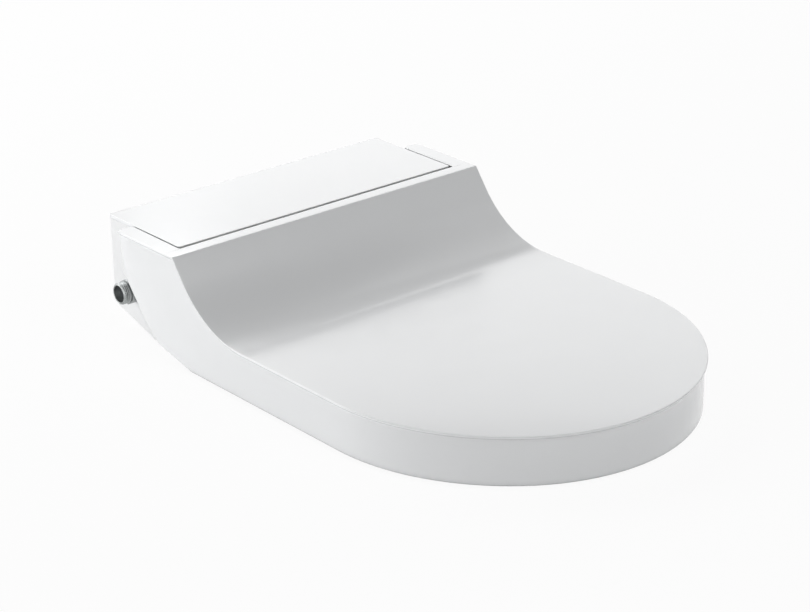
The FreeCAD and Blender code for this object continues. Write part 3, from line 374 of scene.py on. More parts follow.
@dataclass(frozen=True)
class PolishedThermoset(Finish):
    """Pressed and polished white thermoset, as on the lid and the cover plate."""

    coat: float = 0.25
    coat_rough: float = 0.06
    edge_reach: float = 1.2 * MM
    # edge_shade_tone darkens the colour along edges: painted shade on the rims.
    edge_shade_tone: float = 0.86
    edge_share: float = 0.6
    # The seam fields set painted shade: the colour is darkened where close surfaces shut off the
    # sky, in gaps and under the lip.
    seam_shade_reach: float = 9 * MM
    seam_shade_tone: float = 0.2
    seam_shade_share: float = 0.92

    def shade(self, graph: ShaderGraph) -> None:
        """Faint clouding, polish haze, sparse dust, a slow ripple, and painted shade along edges
        and in seams.
        """
        cloud = graph.noise(7.0, 3.0)
        haze = graph.noise(45.0, 4.0, 0.6)
        dust = graph.cells(420.0).ramp(0.03, 0.06, 1.0, 0.0) * graph.noise(9.0).ramp(0.5, 0.7)
        edge = graph.edge_share(self.edge_reach)
        shade = self.tone(0.982)
        # Painted shade: the colour is darkened along edges towards edge_shade_tone.
        stain_tone_and_edge_shade = self.tone(self.edge_shade_tone)
        body = graph.blend(cloud, shade, self.colour)
        body_with_edge_shade = graph.blend(edge * self.edge_share, body, stain_tone_and_edge_shade)
        dusty = self.tone(0.93)
        # Painted shade in gaps and under the lip: the colour darkens towards seam_shade_tone where
        # the shelter is deep.
        painted_seam_shade = self.tone(self.seam_shade_tone)
        dusted_body = graph.blend(dust * 0.25, body_with_edge_shade, dusty)
        seam = graph.shelter(self.seam_shade_reach).ramp(0.15, 0.8)
        colour = graph.blend(seam * self.seam_shade_share, dusted_body, painted_seam_shade)
        rough = self.uneven(haze, 0.3, 0.7, 0.85, 1.2) + dust * 0.12
        ripple = graph.noise(16.0, 1.0) + haze * 0.04
        graph.surface(Base_Color=colour, Roughness=rough, IOR=1.5,
                      Normal=graph.bump(ripple, 0.25, 0.00035),
                      Coat_Weight=self.coat, Coat_Roughness=self.coat_rough)


@dataclass(frozen=True)
class SatinMoulding(Finish):
    """Injection-moulded plastic with a fine eroded grain and faint flow lines."""

    grain: float = 1.0
    edge_reach: float = 1 * MM
    edge_share: float = 0.6

    def shade(self, graph: ShaderGraph) -> None:
        """Fine grain, faint flow lines, smudged gloss and slightly worn edges."""
        grain = graph.noise(420.0, 1.0, 0.5)
        flow = graph.noise(6.0, 1.0, 0.4, graph.place((1.0, 3.5, 1.0)))
        smudge = graph.noise(14.0, 1.0, 0.4)
        edge = graph.edge_share(self.edge_reach)
        deep = self.tone(0.985)
        worn = self.tone(1.03, 0.004)
        body = graph.blend(flow, deep, self.colour)
        colour = graph.blend(edge * self.edge_share, body, worn)
        rough = self.uneven(smudge, 0.2, 0.8, 0.92, 1.08) - edge * 0.06
        graph.surface(Base_Color=colour, Roughness=rough, IOR=1.49,
                      Normal=graph.bump(grain, 0.2 * self.grain, 0.00002))


@dataclass(frozen=True)
class GlassFilled(Finish):
    """Dark glass-filled nylon: short fibre flecks and a dry, uneven gloss."""

    fleck: float = 0.35

    def shade(self, graph: ShaderGraph) -> None:
        """Fibre flecks along the flow, sink ripples and rubbed edges."""
        fibre = graph.noise(900.0, 2.0, 0.7, graph.place((0.25, 1.0, 1.0), turn=(0.0, 0.0, 0.4)))
        flecks = fibre.ramp(0.58, 0.68)
        sink = graph.noise(30.0, 2.0)
        edge = graph.edge_share(0.0008)
        light = self.tone(1.0 + self.fleck, 0.012)
        worn = self.tone(1.35, 0.02)
        body = graph.blend(flecks * 0.45, self.colour, light)
        colour = graph.blend(edge * 0.5, body, worn)
        rough = self.uneven(sink, 0.3, 0.7, 0.9, 1.08) + flecks * 0.05
        graph.surface(Base_Color=colour, Roughness=rough, IOR=1.52,
                      Normal=graph.bump(fibre * 0.4 + sink, 0.4, 0.00012))


class Axis(Enum):
    """The line that a turned part was turned about."""

    ACROSS = 0
    ALONG = 1
    UP = 2


@dataclass(frozen=True)
class TurnedMetal(Finish):
    """Machined metal with tool lines round its axis."""

    axis: Axis = Axis.ACROSS
    line_scale: float = 3200.0
    stain: float = 0.25

    def shade(self, graph: ShaderGraph) -> None:
        """Tool lines across the axis, handling stains and bright edges."""
        stretch = [0.04, 0.04, 0.04]
        stretch[self.axis.value] = 1.0
        lines = graph.noise(self.line_scale, 3.0, 0.7, graph.place(tuple(stretch)))
        stain = graph.noise(140.0, 3.0, 0.6)
        edge = graph.edge_share(0.0004)
        stain_tone_and_edge_shade = self.tone(1.0 - self.stain)
        bright = self.tone(1.9, 0.1)
        body = graph.blend(stain.ramp(0.4, 0.65), self.colour, stain_tone_and_edge_shade)
        colour = graph.blend(edge * 0.8, body, bright)
        rough = self.uneven(lines, 0.3, 0.7, 0.8, 1.25) + stain * 0.06
        graph.surface(Base_Color=colour, Metallic=1.0, Roughness=rough,
                      Normal=graph.bump(lines, 0.3, 0.00004))


@dataclass(frozen=True)
class SoftElastomer(Finish):
    """Matt elastomer: bloom, lint-dulled patches and a soft grain."""

    bloom: float = 0.1

    def shade(self, graph: ShaderGraph) -> None:
        """Grain, pale bloom and compressed, shinier edges."""
        grain = graph.noise(1100.0, 3.0, 0.65)
        patch = graph.noise(60.0, 3.0, 0.55)
        edge = graph.edge_share(0.0008)
        pale = self.tone(1.0, self.bloom)
        body = graph.blend(patch.ramp(0.45, 0.75) * 0.6, self.colour, pale)
        colour = graph.blend(edge * 0.35, body, pale)
        rough = patch.ramp(0.3, 0.7, self.rough, min(1.0, self.rough * 1.15)) - edge * 0.1
        graph.surface(Base_Color=colour, Roughness=rough, IOR=1.47,
                      Normal=graph.bump(grain, 0.5, 0.00008))


@dataclass(frozen=True)
class ClearSilicone(Finish):
    """Milky silicone hose with faint draw lines along it."""

    milk: float = 0.5

    def shade(self, graph: ShaderGraph) -> None:
        """Cloudy body, draw lines and water-stained patches."""
        cloud = graph.noise(90.0, 3.0)
        draw = graph.noise(800.0, 2.0, 0.5, graph.place((0.2, 1.0, 1.0)))
        stained = self.tone(0.9)
        colour = graph.blend(cloud.ramp(0.4, 0.7), self.colour, stained)
        rough = self.uneven(draw, 0.3, 0.7, 0.8, 1.2)
        graph.surface(Base_Color=colour, Roughness=rough, IOR=1.41,
                      Subsurface_Weight=self.milk, Subsurface_Scale=0.004,
                      Normal=graph.bump(draw, 0.3, 0.00005))


@dataclass(frozen=True)
class EtchedFoil(Finish):
    """Heating tracks etched from copper foil on an amber film."""

    film: Colour = (0.42, 0.19, 0.04)
    pitch: float = 0.006

    def shade(self, graph: ShaderGraph) -> None:
        """Parallel tracks that wander slightly, standing proud of the film."""
        across, along, _ = graph.split(graph.place())
        wander = graph.noise(14.0, 1.0) * 0.003
        phase = ((along + wander + abs(across) * 0.35) / self.pitch) % 1.0
        track = abs(phase - 0.5).ramp(0.2, 0.26, 1.0, 0.0)
        tarnish = graph.noise(55.0, 4.0, 0.6)
        dark = self.tone(0.7)
        copper = graph.blend(tarnish.ramp(0.4, 0.7), self.colour, dark)
        colour = graph.blend(track, self.film, copper)
        rough = track * -0.15 + tarnish.ramp(0.2, 0.8, self.rough, self.rough * 1.3)
        graph.surface(Base_Color=colour, Metallic=track * 0.9, Roughness=rough,
                      Normal=graph.bump(track, 0.5, 0.00005))


@dataclass(frozen=True)
class CoatedBoard(Finish):
    """Printed board under green coating, with tracks, vias and solder pads."""

    solder: Colour = (0.62, 0.62, 0.6)

    def shade(self, graph: ShaderGraph) -> None:
        """Stepped tracks on two diagonals, and round pads on a loose grid."""
        across, along, _ = graph.split(graph.place())
        step = graph.noise(55.0, 0.0) * 0.02
        lanes = ((across + step) / 0.0026) % 1.0
        crossing = ((along + step * 1.4) / 0.0034) % 1.0
        chosen = graph.noise(48.0, 0.0).above(0.52)
        track = abs(lanes - 0.5).ramp(0.14, 0.18, 1.0, 0.0) * chosen
        other = abs(crossing - 0.5).ramp(0.12, 0.16, 1.0, 0.0) * (1.0 - chosen)
        copper = track.greater(other)
        pads = graph.cells(230.0, "F1", 0.35).ramp(0.16, 0.2, 1.0, 0.0)
        lighter = self.tone(1.5, 0.01)
        coated = graph.blend(copper, self.colour, lighter)
        colour = graph.blend(pads, coated, self.solder)
        rough = pads * -0.1 + graph.noise(70.0, 3.0).ramp(0.3, 0.7, self.rough, self.rough * 1.3)
        graph.surface(Base_Color=colour, Metallic=pads * 0.9, Roughness=rough,
                      Normal=graph.bump(copper * 0.5 + pads, 0.6, 0.00008))


@dataclass(frozen=True)
class CarbonHoneycomb(Finish):
    """Open honeycomb of activated carbon."""

    cell: float = 520.0

    def shade(self, graph: ShaderGraph) -> None:
        """Cells darkened with painted shade between thin, dusty walls."""
        wall = graph.cells(self.cell, "DISTANCE_TO_EDGE", 0.25)
        rim = wall.ramp(0.05, 0.14, 1.0, 0.0)
        powder = graph.noise(900.0, 4.0, 0.7)
        dusty = self.tone(2.4, 0.02)
        # Painted shade: the cell floors are darkened so the cells look deep.
        deep = self.tone(0.35)
        walls = graph.blend(powder.ramp(0.4, 0.7), self.colour, dusty)
        colour = graph.blend(rim, deep, walls)
        graph.surface(Base_Color=colour, Roughness=powder.ramp(0.2, 0.8, self.rough, 1.0),
                      Normal=graph.bump(rim + powder * 0.1, 0.9, 0.0009))


@dataclass(frozen=True)
class SmokedWindow(Finish):
    """Dark infrared window: glossy, with wiping marks."""

    def shade(self, graph: ShaderGraph) -> None:
        """Nearly black with fine wiping marks across it."""
        wipe = graph.noise(260.0, 3.0, 0.6, graph.place((0.15, 1.0, 1.0)))
        speck = graph.cells(800.0).ramp(0.05, 0.1, 1.0, 0.0)
        tint = self.tone(1.8, 0.004)
        colour = graph.blend(wipe, self.colour, tint)
        rough = wipe.ramp(0.35, 0.7, self.rough, self.rough * 2.5) + speck * 0.1
        graph.surface(Base_Color=colour, Roughness=rough, IOR=1.58,
                      Normal=graph.bump(wipe, 0.15, 0.00003))


@dataclass(frozen=True)
class SpunCap(Finish):
    """Button face with fine concentric rings about its own middle."""

    middles: tuple[float, float] = (0.072, 0.088)
    back: float = 0.095

    def shade(self, graph: ShaderGraph) -> None:
        """Rings about the nearer button's middle, and a rubbed centre."""
        _, along, up = graph.split(graph.place())
        low, high = self.middles
        half_way = (low + high) / 2
        nearer = up.above(half_way) * (high - low) + low
        radius = ((along - self.back) ** 2.0 + (up - nearer) ** 2.0) ** 0.5
        rings = (radius * 14000.0).sine()
        rubbed = radius.ramp(0.001, 0.0045, 1.0, 0.0)
        edge = graph.edge_share(0.0006)
        pale = self.tone(1.12)
        colour = graph.blend((rubbed * 0.5).greater(edge * 0.8), self.colour, pale)
        rough = graph.noise(120.0, 3.0).ramp(0.3, 0.7, self.rough, self.rough * 1.2) - rubbed * 0.1
        graph.surface(Base_Color=colour, Roughness=rough, IOR=1.49,
                      Normal=graph.bump(rings, 0.3, 0.00004))


@dataclass(frozen=True)
class NaturalAcetal(Finish):
    """Unpigmented acetal: waxy, slightly translucent."""

    def shade(self, graph: ShaderGraph) -> None:
        """Waxy body with a warm cast, wear-polished edges."""
        cloud = graph.noise(110.0, 3.0)
        edge = graph.edge_share(0.0005)
        warm = (self.colour[0] * 0.97, self.colour[1] * 0.94, self.colour[2] * 0.86)
        body = graph.blend(cloud.ramp(0.35, 0.7), self.colour, warm)
        white = self.tone(1.08)
        colour = graph.blend(edge * 0.5, body, white)
        rough = self.uneven(cloud, 0.3, 0.7, 0.85, 1.15) - edge * 0.1
        graph.surface(Base_Color=colour, Roughness=rough, IOR=1.48,
                      Subsurface_Weight=0.2, Subsurface_Scale=0.002,
                      Normal=graph.bump(graph.noise(700.0, 2.0), 0.2, 0.00005))


@dataclass
class FinishShelf:
    """The finish of each material slot, and the materials made from them."""

    finishes: dict[str, Finish] = field(default_factory=lambda: {
        "gloss_white": PolishedThermoset((0.85, 0.86, 0.868), 0.2),
        "shell_white": SatinMoulding((0.84, 0.845, 0.85), 0.34),
        "seat_white": SatinMoulding((0.86, 0.866, 0.87), 0.3, 0.7),
        "soft_grey": SoftElastomer((0.5, 0.51, 0.52), 0.62),
        "steel": TurnedMetal((0.55, 0.55, 0.56), 0.25),
        "dark_metal": TurnedMetal((0.36, 0.375, 0.375), 0.42),
        "plate_grey": GlassFilled((0.3, 0.31, 0.32), 0.55),
        "nozzle_white": SatinMoulding((0.83, 0.84, 0.85), 0.24, 0.5),
        "gear_natural": NaturalAcetal((0.8, 0.79, 0.75), 0.34),
        "motor_can": TurnedMetal((0.4, 0.41, 0.43), 0.42, Axis.ACROSS, 900.0),
        "inner_grey": GlassFilled((0.17, 0.175, 0.185), 0.5),
        "heater_case": GlassFilled((0.06, 0.06, 0.065), 0.48),
        "hose_clear": ClearSilicone((0.78, 0.8, 0.8), 0.3),
        "foil_copper": EtchedFoil((0.72, 0.42, 0.27), 0.35),
        "board_green": CoatedBoard((0.02, 0.12, 0.05), 0.28),
        "carbon_filter": CarbonHoneycomb((0.02, 0.02, 0.02), 0.85),
        "button_grey": SpunCap((0.6, 0.61, 0.62), 0.32),
        "black_rubber": SoftElastomer((0.02, 0.02, 0.022), 0.6, 0.03),
        "dark_window": SmokedWindow((0.01, 0.01, 0.014), 0.07),
    })
    made: dict[str, bpy.types.Material] = field(default_factory=dict)

    def get(self, slot: str) -> bpy.types.Material:
        """The material of a slot, made when first asked for."""
        if slot not in self.made:
            self.made[slot] = self.finishes[slot].material(slot)
        return self.made[slot]

    def dress(self, piece: bpy.types.Object, slot: str) -> None:
        """Give a piece a slot's material everywhere.

        Args:
            piece: a CAD node's object or a new piece.
            slot: the record's material slot.
        """
        material = self.get(slot)
        if not piece.material_slots:
            piece.data.materials.append(material)
        for held in piece.material_slots:
            held.link = "OBJECT"
            held.material = material


# ---------------------------------------------------------------- mesh helpers


def quarter(count: int) -> np.ndarray:
    """Angles from 0 to a quarter turn in count steps, as one array."""
    return np.linspace(0.0, math.pi / 2, count + 1)


def arc(centre: tuple[float, float], radius: float, start: float, end: float,
        count: int) -> np.ndarray:
    """Points on a circle's arc: centre + radius (cos t, sin t), t in degrees.

    Args:
        centre: the circle's centre.
        radius: its radius.
        start: first angle in degrees.
        end: last angle in degrees.
        count: steps along the arc.

    Returns:
        An array of count + 1 points.
    """
    turn = np.radians(np.linspace(start, end, count + 1))
    return np.column_stack([centre[0] + radius * np.cos(turn),
                            centre[1] + radius * np.sin(turn)])


def eased(radius: float, steps: int) -> np.ndarray:
    """A quarter round from level to upright: inset r (1 - sin t) at depth r (1 - cos t)."""
    turn = quarter(steps)
    return np.column_stack([radius * (1 - np.sin(turn)), radius * (1 - np.cos(turn))])


def end_caps(rows: int, count: int) -> list[list[int]]:
    """One face over the first and one over the last of rows of count points."""
    return [list(range(count)), list(range((rows - 1) * count, rows * count))]


def nose_line(half_width: float, front: float, stretch: float, tuck: float,
              steps: tuple[int, int]) -> tuple[np.ndarray, float]:
    """The right half of a round nose in plan, from its tip to the straight side.

    Two tangent arcs: the first's radius is half_width - tuck about a centre on the
    middle line, and the second runs from it to the straight side.

    Args:
        half_width: half the width between the straight sides.
        front: y of the tip.
        stretch: how far past half_width the straight sides start behind the tip.
        tuck: how much smaller the first radius is than half_width.
        steps: steps along each of the two arcs.

    Returns:
        The points, and the angle in degrees at which the arcs meet.
    """
    radius = half_width - tuck
    centre = front + radius
    side = half_width + stretch + front
    offset = side - centre
    side_radius = ((half_width ** 2 + offset ** 2 - radius ** 2)
                   / (2 * (half_width - radius)))
    side_centre = half_width - side_radius
    meeting = math.degrees(math.atan2(-offset, -side_centre))
    first = arc((0.0, centre), radius, -90.0, meeting, steps[0])
    second = arc((side_centre, side), side_radius, meeting, 0.0, steps[1])[1:]
    return np.concatenate([first, second]), meeting


def grid_faces(rows: int, columns: int, wrap_rows: bool = False,
               wrap_columns: bool = False) -> np.ndarray:
    """Quads over a grid of points numbered row by row.

    Args:
        rows: number of rows of points.
        columns: points in each row.
        wrap_rows: whether the last row joins the first.
        wrap_columns: whether the last column joins the first.

    Returns:
        An array of quads.
    """
    row = np.arange(rows if wrap_rows else rows - 1)
    column = np.arange(columns if wrap_columns else columns - 1)
    r, c = np.meshgrid(row, column, indexing="ij")
    r2, c2 = (r + 1) % rows, (c + 1) % columns
    return np.stack([r * columns + c, r * columns + c2, r2 * columns + c2, r2 * columns + c],
                    axis=-1).reshape(-1, 4)


def make_piece(name: str, points: np.ndarray, faces: Sequence[Sequence[int]],
               sharp: float = 38.0) -> bpy.types.Object:
    """Put points and faces into a new object at the origin.

    Args:
        name: the piece's name.
        points: an array of positions in metres.
        faces: corner numbers of each face.
        sharp: angle in degrees past which an edge stays sharp.

    Returns:
        The object, with merged doubles and faces that point outwards.
    """
    mesh = bpy.data.meshes.new(name)
    mesh.from_pydata(np.asarray(points, float).tolist(), [], [list(face) for face in faces])
    shape = bmesh.new()
    shape.from_mesh(mesh)
    bmesh.ops.remove_doubles(shape, verts=shape.verts, dist=1e-6)
    bmesh.ops.recalc_face_normals(shape, faces=shape.faces)
    shape.to_mesh(mesh)
    shape.free()
    mesh.shade_smooth()
    mesh.set_sharp_from_angle(angle=math.radians(sharp))
    piece = bpy.data.objects.new(name, mesh)
    bpy.context.scene.collection.objects.link(piece)
    return piece


def turned(profile: np.ndarray, centre: tuple[float, float], count: int,
           swell: Optional[Callable[[np.ndarray, np.ndarray], np.ndarray]] = None,
           start: int = 0) -> tuple[np.ndarray, np.ndarray]:
    """A profile of (x, radius) carried round an axis parallel to X.

    A point is (x, back + r cos t, height + r sin t), where r is the profile's radius,
    or swell(x and t, r) where that is given.

    Args:
        profile: an array of x and radius.
        centre: the axis's y and z.
        count: steps round the axis.
        swell: changes the radius from stacked x and t, and the radius.
        start: number of the first point, for the faces.

    Returns:
        Points and quads.
    """
    turn = np.linspace(0.0, 2 * math.pi, count, endpoint=False)
    x, t = np.meshgrid(profile[:, 0], turn, indexing="ij")
    radius = np.repeat(profile[:, 1:2], count, axis=1)
    if swell is not None:
        radius = swell(np.stack([x, t]), radius)
    points = np.stack([x, centre[0] + radius * np.cos(t), centre[1] + radius * np.sin(t)], axis=-1)
    return points.reshape(-1, 3), grid_faces(len(profile), count, wrap_columns=True) + start


def soften_edges(piece: bpy.types.Object, width: float, segments: int = 2,
                 angle: float = 40.0) -> None:
    """Round a CAD node's edges with live modifiers; its own mesh stays as it is.

    Args:
        piece: the node's object.
        width: width of the rounding in metres.
        segments: steps across it.
        angle: edges sharper than this many degrees are rounded.
    """
    weld = piece.modifiers.new("join_corners", "WELD")
    weld.merge_threshold = 0.00001
    flat = piece.modifiers.new("clear_flats", "DECIMATE")
    flat.decimate_type = "DISSOLVE"
    flat.angle_limit = math.radians(0.4)
    rounding = piece.modifiers.new("round_edges", "BEVEL")
    rounding.limit_method = "ANGLE"
    rounding.angle_limit = math.radians(angle)
    rounding.width = width
    rounding.segments = segments
    rounding.use_clamp_overlap = True
    rounding.harden_normals = True


# ------------------------------------------------------------------------- lid


@dataclass
class Lid:
    """The scooped lid: a rounded skin, a skirt set in under its lip, and hinge bosses."""

    shelf: FinishShelf
    half_width: float = 180 * MM
    front: float = -436 * MM
    nose_stretch: float = 10 * MM
    nose_tuck: float = 10 * MM
    skin: float = 4.5 * MM
    flat_height: float = 48 * MM
    top_height: float = 109 * MM
    scoop_radius: float = 106 * MM
    scoop_angle: float = 53.0
    crest_back: float = -15 * MM
    crest_radius: float = 1.0 * MM
    crest_least: float = 0.2 * MM
    strip_rear: float = -1.2 * MM
    arm_rear: float = 75 * MM
    arm_inner: float = 162 * MM
    arm_corner: float = 4 * MM
    hollow_corner: float = 1.5 * MM
    edge_radius: float = 0.8 * MM
    lip_turn: tuple[float, float] = (1.7 * MM, 3.0 * MM)
    lip_slope: float = 42.0
    overhang: float = 2.8 * MM
    skirt_wall: float = 3.5 * MM
    foot_line: tuple[tuple[float, float], ...] = ((-31 * MM, 2 * MM), (25 * MM, 14.5 * MM),
                                                  (75 * MM, 74 * MM))
    end_low: float = 86 * MM
    strip_stations: tuple[float, ...] = (-10.0, -4.8, -3.4, -2.5, -1.5, -0.6, 0.3, 18.0, 36.0, 54.0)
    hang_share: tuple[tuple[float, float], ...] = (
        (-0.14, -0.16), (0.0, 0.02), (0.35, 0.42), (0.62, 0.86), (0.82, 1.4), (0.95, 2.1),
        (1.0, 3.0))
    foot_round: tuple[tuple[float, float], ...] = ((0.0, 1.2), (0.1, 0.6), (0.45, 0.15), (1.1, 0.0))
    boss_profile: tuple[tuple[float, float], ...] = (
        (0.5, 10.0), (-1.1, 10.0), (-1.5, 9.6), (-1.5, 4.05), (0.5, 4.05))
    near_top: float = 20 * MM
    steps: int = 24
    edge_steps: int = 5
    crest_steps: int = 6
    corner_steps: int = 5
    hollow_steps: int = 4
    run_rows: int = 8
    boss_steps: int = 48
    columns: int = 7
    pieces: list[bpy.types.Object] = field(default_factory=list)

    def nose(self) -> np.ndarray:
        """The right half of the plan's nose, from its tip to the straight side.

        Returns:
            Points and outward normals, four columns.
        """
        points, meeting = nose_line(self.half_width, self.front, self.nose_stretch,
                                    self.nose_tuck, (self.steps, self.steps))
        turns = np.radians(np.concatenate([np.linspace(-90.0, meeting, self.steps + 1),
                                           np.linspace(meeting, 0.0, self.steps + 1)[1:]]))
        return np.column_stack([points, np.cos(turns), np.sin(turns)])

    def section(self, depth: float) -> np.ndarray:
        """The long section behind the nose at a depth under the top.

        A level run, an arc of scoop_radius + depth about one centre, a straight rise,
        a small round crest and the level strip. Each depth has as many points.

        Args:
            depth: distance under the outer surface.

        Returns:
            An array of y and z from the scoop's start to the crest's back.
        """
        slope = math.radians(self.scoop_angle)
        top = self.top_height - depth
        flat = self.flat_height - depth
        radius = self.scoop_radius + depth
        crest = self.crest_back + depth * math.tan(slope / 2)
        lift = radius * (1 - math.cos(slope))
        foot = crest - (top - flat - lift) / math.tan(slope)
        start = foot - radius * math.sin(slope)
        scoop = arc((start, flat + radius), radius, -90.0, -90.0 + self.scoop_angle, self.steps)
        round_radius = max(self.crest_radius - depth, self.crest_least)
        reach = round_radius * math.tan(slope / 2)
        crest_turn = arc((crest + reach, top - round_radius), round_radius,
                         90.0 + self.scoop_angle, 90.0, self.crest_steps)
        return np.concatenate([scoop, crest_turn])

    def side(self, depth: float) -> np.ndarray:
        """Stations from the nose's tip along the straight side to the arm's rear corner.

        Args:
            depth: distance under the outer surface.

        Returns:
            y and z of each station at that depth.
        """
        nose = self.nose()
        section = self.section(depth)
        start = nose[-1, 1]
        run = np.linspace(start, self.section(0.0)[0, 0], self.run_rows)[1:-1]
        back = np.append(np.array(self.strip_stations) * MM, self.arm_rear - self.arm_corner)
        low, high = self.flat_height - depth, self.top_height - depth
        return np.concatenate([np.column_stack([nose[:, 1], np.full(len(nose), low)]),
                               np.column_stack([run, np.full(len(run), low)]), section,
                               np.column_stack([back, np.full(len(back), high)])])

    def loop(self) -> dict[str, np.ndarray]:
        """The whole edge of the skin in plan as one closed loop of stations.

        Returns:
            Arrays x, y, nx and ny, with station numbers by name; y is the level parts'
            own and is replaced at each depth along the side.
        """
        nose = self.nose()
        side = self.side(0.0)
        count = len(side) - len(nose)
        corner = self.arm_corner
        rear = self.arm_rear - corner
        outer = arc((self.half_width - corner, rear), corner, 0.0, 90.0, self.corner_steps)[1:]
        inner = arc((self.arm_inner + corner, rear), corner, 90.0, 180.0, self.corner_steps)
        hollow_centre = (self.arm_inner - self.hollow_corner, self.strip_rear + self.hollow_corner)
        back_y = side[side[:, 0] > hollow_centre[1], 0][::-1][1:]
        hollow = arc(hollow_centre, self.hollow_corner, 0.0, -90.0, self.hollow_steps)
        strip = np.linspace(hollow_centre[0], 0.0, self.columns)[1:]
        turns = np.radians(np.concatenate([np.linspace(0, 90, self.corner_steps + 1)[1:],
                                           np.linspace(90, 180, self.corner_steps + 1)]))
        hollow_turns = np.radians(np.linspace(180.0, 90.0, self.hollow_steps + 1))
        x = np.concatenate([nose[:, 0], np.full(count, self.half_width), outer[:, 0], inner[:, 0],
                            np.full(len(back_y), self.arm_inner), hollow[:, 0], strip])
        y = np.concatenate([side[:, 0], outer[:, 1], inner[:, 1], back_y, hollow[:, 1],
                            np.full(len(strip), self.strip_rear)])
        nx = np.concatenate([nose[:, 2], np.ones(count), np.cos(turns), -np.ones(len(back_y)),
                             np.cos(hollow_turns), np.zeros(len(strip))])
        ny = np.concatenate([nose[:, 3], np.zeros(count), np.sin(turns), np.zeros(len(back_y)),
                             np.sin(hollow_turns), np.ones(len(strip))])
        half = {"x": x, "y": y, "nx": nx, "ny": ny}
        whole = {key: np.concatenate([value, value[1:-1][::-1] * (-1 if key in ("x", "nx") else 1)])
                 for key, value in half.items()}
        whole["half_count"] = np.array(len(x))
        whole["corner_start"] = np.array(len(side) - 1)
        whole["inner_corner_end"] = np.array(len(side) + len(outer) + len(inner) - 1)
        whole["hollow_end"] = np.array(len(x) - len(strip) - 1)
        return whole

    def rim(self) -> np.ndarray:
        """The edge's cross-section: inset and depth, from the top to the underside.

        A quarter circle of edge_radius, then a curve that leaves it upright and turns
        by lip_slope to reach lip_turn, then a straight run to the underside.

        Returns:
            An array of inset and depth.
        """
        over = eased(self.edge_radius, self.edge_steps)
        bend = np.radians(np.linspace(0.0, self.lip_slope, self.edge_steps + 1)[1:])
        full = bend[-1]
        reach, fall = self.lip_turn[0], self.lip_turn[1] - self.edge_radius
        under = np.column_stack([reach * (1 - np.cos(bend)) / (1 - math.cos(full)),
                                 self.edge_radius + fall * np.sin(bend) / math.sin(full)])
        return np.concatenate([[[self.edge_radius * 2, 0.0]], over, under,
                               [[self.lip_turn[0] + self.skin - self.lip_turn[1], self.skin]]])

    def ring(self, loop: dict[str, np.ndarray], inset: float, depth: float) -> np.ndarray:
        """One ring of the edge: the loop moved in by inset and down by depth.

        Args:
            loop: the stations.
            inset: distance in from the outline, along its normal in plan.
            depth: distance under the outer surface.

        Returns:
            The ring's points.
        """
        side = self.side(depth)
        half = int(loop["half_count"])
        y = loop["y"].copy()
        z = np.full(len(y), self.top_height - depth)
        y[:len(side)], z[:len(side)] = side[:, 0], side[:, 1]
        y[half:] = y[1:half - 1][::-1]
        z[half:] = z[1:half - 1][::-1]
        return np.column_stack([loop["x"] - inset * loop["nx"], y - inset * loop["ny"], z])

    def fill(self, loop: dict[str, np.ndarray], ring: np.ndarray, offset: int,
             start: int) -> tuple[np.ndarray, list[list[int]]]:
        """Close a face of the skin inside one ring.

        Rows run straight across between the right and left points of one station,
        as far as the strip's rear edge; the arms are filled between their two edges.

        Args:
            loop: the stations.
            ring: the ring's points.
            offset: number of the ring's first point.
            start: number of the first new point.

        Returns:
            New points and faces.
        """
        count = len(ring)
        half = int(loop["half_count"])
        hollow_end = int(loop["hollow_end"])
        strip_y = ring[hollow_end + 1, 1]
        edge = ring[:int(loop["corner_start"])]
        last = int(np.argmin(np.abs(edge[:, 1] - strip_y)
                             + (edge[:, 2] < self.top_height - self.near_top)))
        strip_x = ring[hollow_end:half, 0]
        share = np.concatenate([strip_x, -strip_x[:-1][::-1]]) / ring[last, 0]
        rows = np.arange(1, last)
        across = ring[rows, 0][:, None] * share[None, :]
        points = np.stack([across, np.repeat(ring[rows, 1:2], len(share), axis=1),
                           np.repeat(ring[rows, 2:3], len(share), axis=1)], axis=-1)
        inner = start + np.arange(len(rows) * len(share)).reshape(len(rows), len(share))
        right = offset + rows
        left = offset + (count - rows) % count
        table = np.column_stack([right, inner, left])
        strip = offset + np.concatenate([np.arange(hollow_end, half),
                                         np.arange(half, 2 * half - 1 - hollow_end)])
        final = np.concatenate([[offset + last], strip, [offset + count - last]])
        table = np.vstack([table, final])
        tip = [[offset, int(a), int(b)] for a, b in zip(table[0, :-1], table[0, 1:])]
        quads = np.stack([table[:-1, :-1], table[:-1, 1:], table[1:, 1:], table[1:, :-1]],
                         axis=-1).reshape(-1, 4)
        turned_in = int(loop["inner_corner_end"]) - self.corner_steps
        outside = np.arange(last, turned_in)
        inside = np.arange(hollow_end, turned_in - 1, -1)
        pairs = min(len(outside), len(inside))
        outside, inside = outside[-pairs:], inside[-pairs:]
        lead = [int(v) for v in np.arange(last, outside[0] + 1)]
        fan = [[offset + a, offset + b, offset + int(inside[0])] for a, b in zip(lead, lead[1:])]
        arm = np.stack([outside[:-1], outside[1:], inside[1:], inside[:-1]], axis=-1)
        other = (count - arm) % count
        faces = [*tip, *quads.tolist(), *(arm + offset).tolist(), *(other + offset).tolist(), *fan,
                 *[[offset + (count - (v - offset)) % count for v in face] for face in fan]]
        return points.reshape(-1, 3), faces

    def make_skin(self) -> bpy.types.Object:
        """The skin: rings of the rim round the loop, closed above and below."""
        loop = self.loop()
        rings = [self.ring(loop, inset, depth) for inset, depth in self.rim()]
        count = len(loop["x"])
        points = np.concatenate(rings)
        faces = grid_faces(len(rings), count, wrap_columns=True).tolist()
        for index in (0, len(rings) - 1):
            new, closing = self.fill(loop, rings[index], index * count, len(points))
            points = np.concatenate([points, new])
            faces += closing
        return make_piece("lid_skin", points, faces, 30.0)

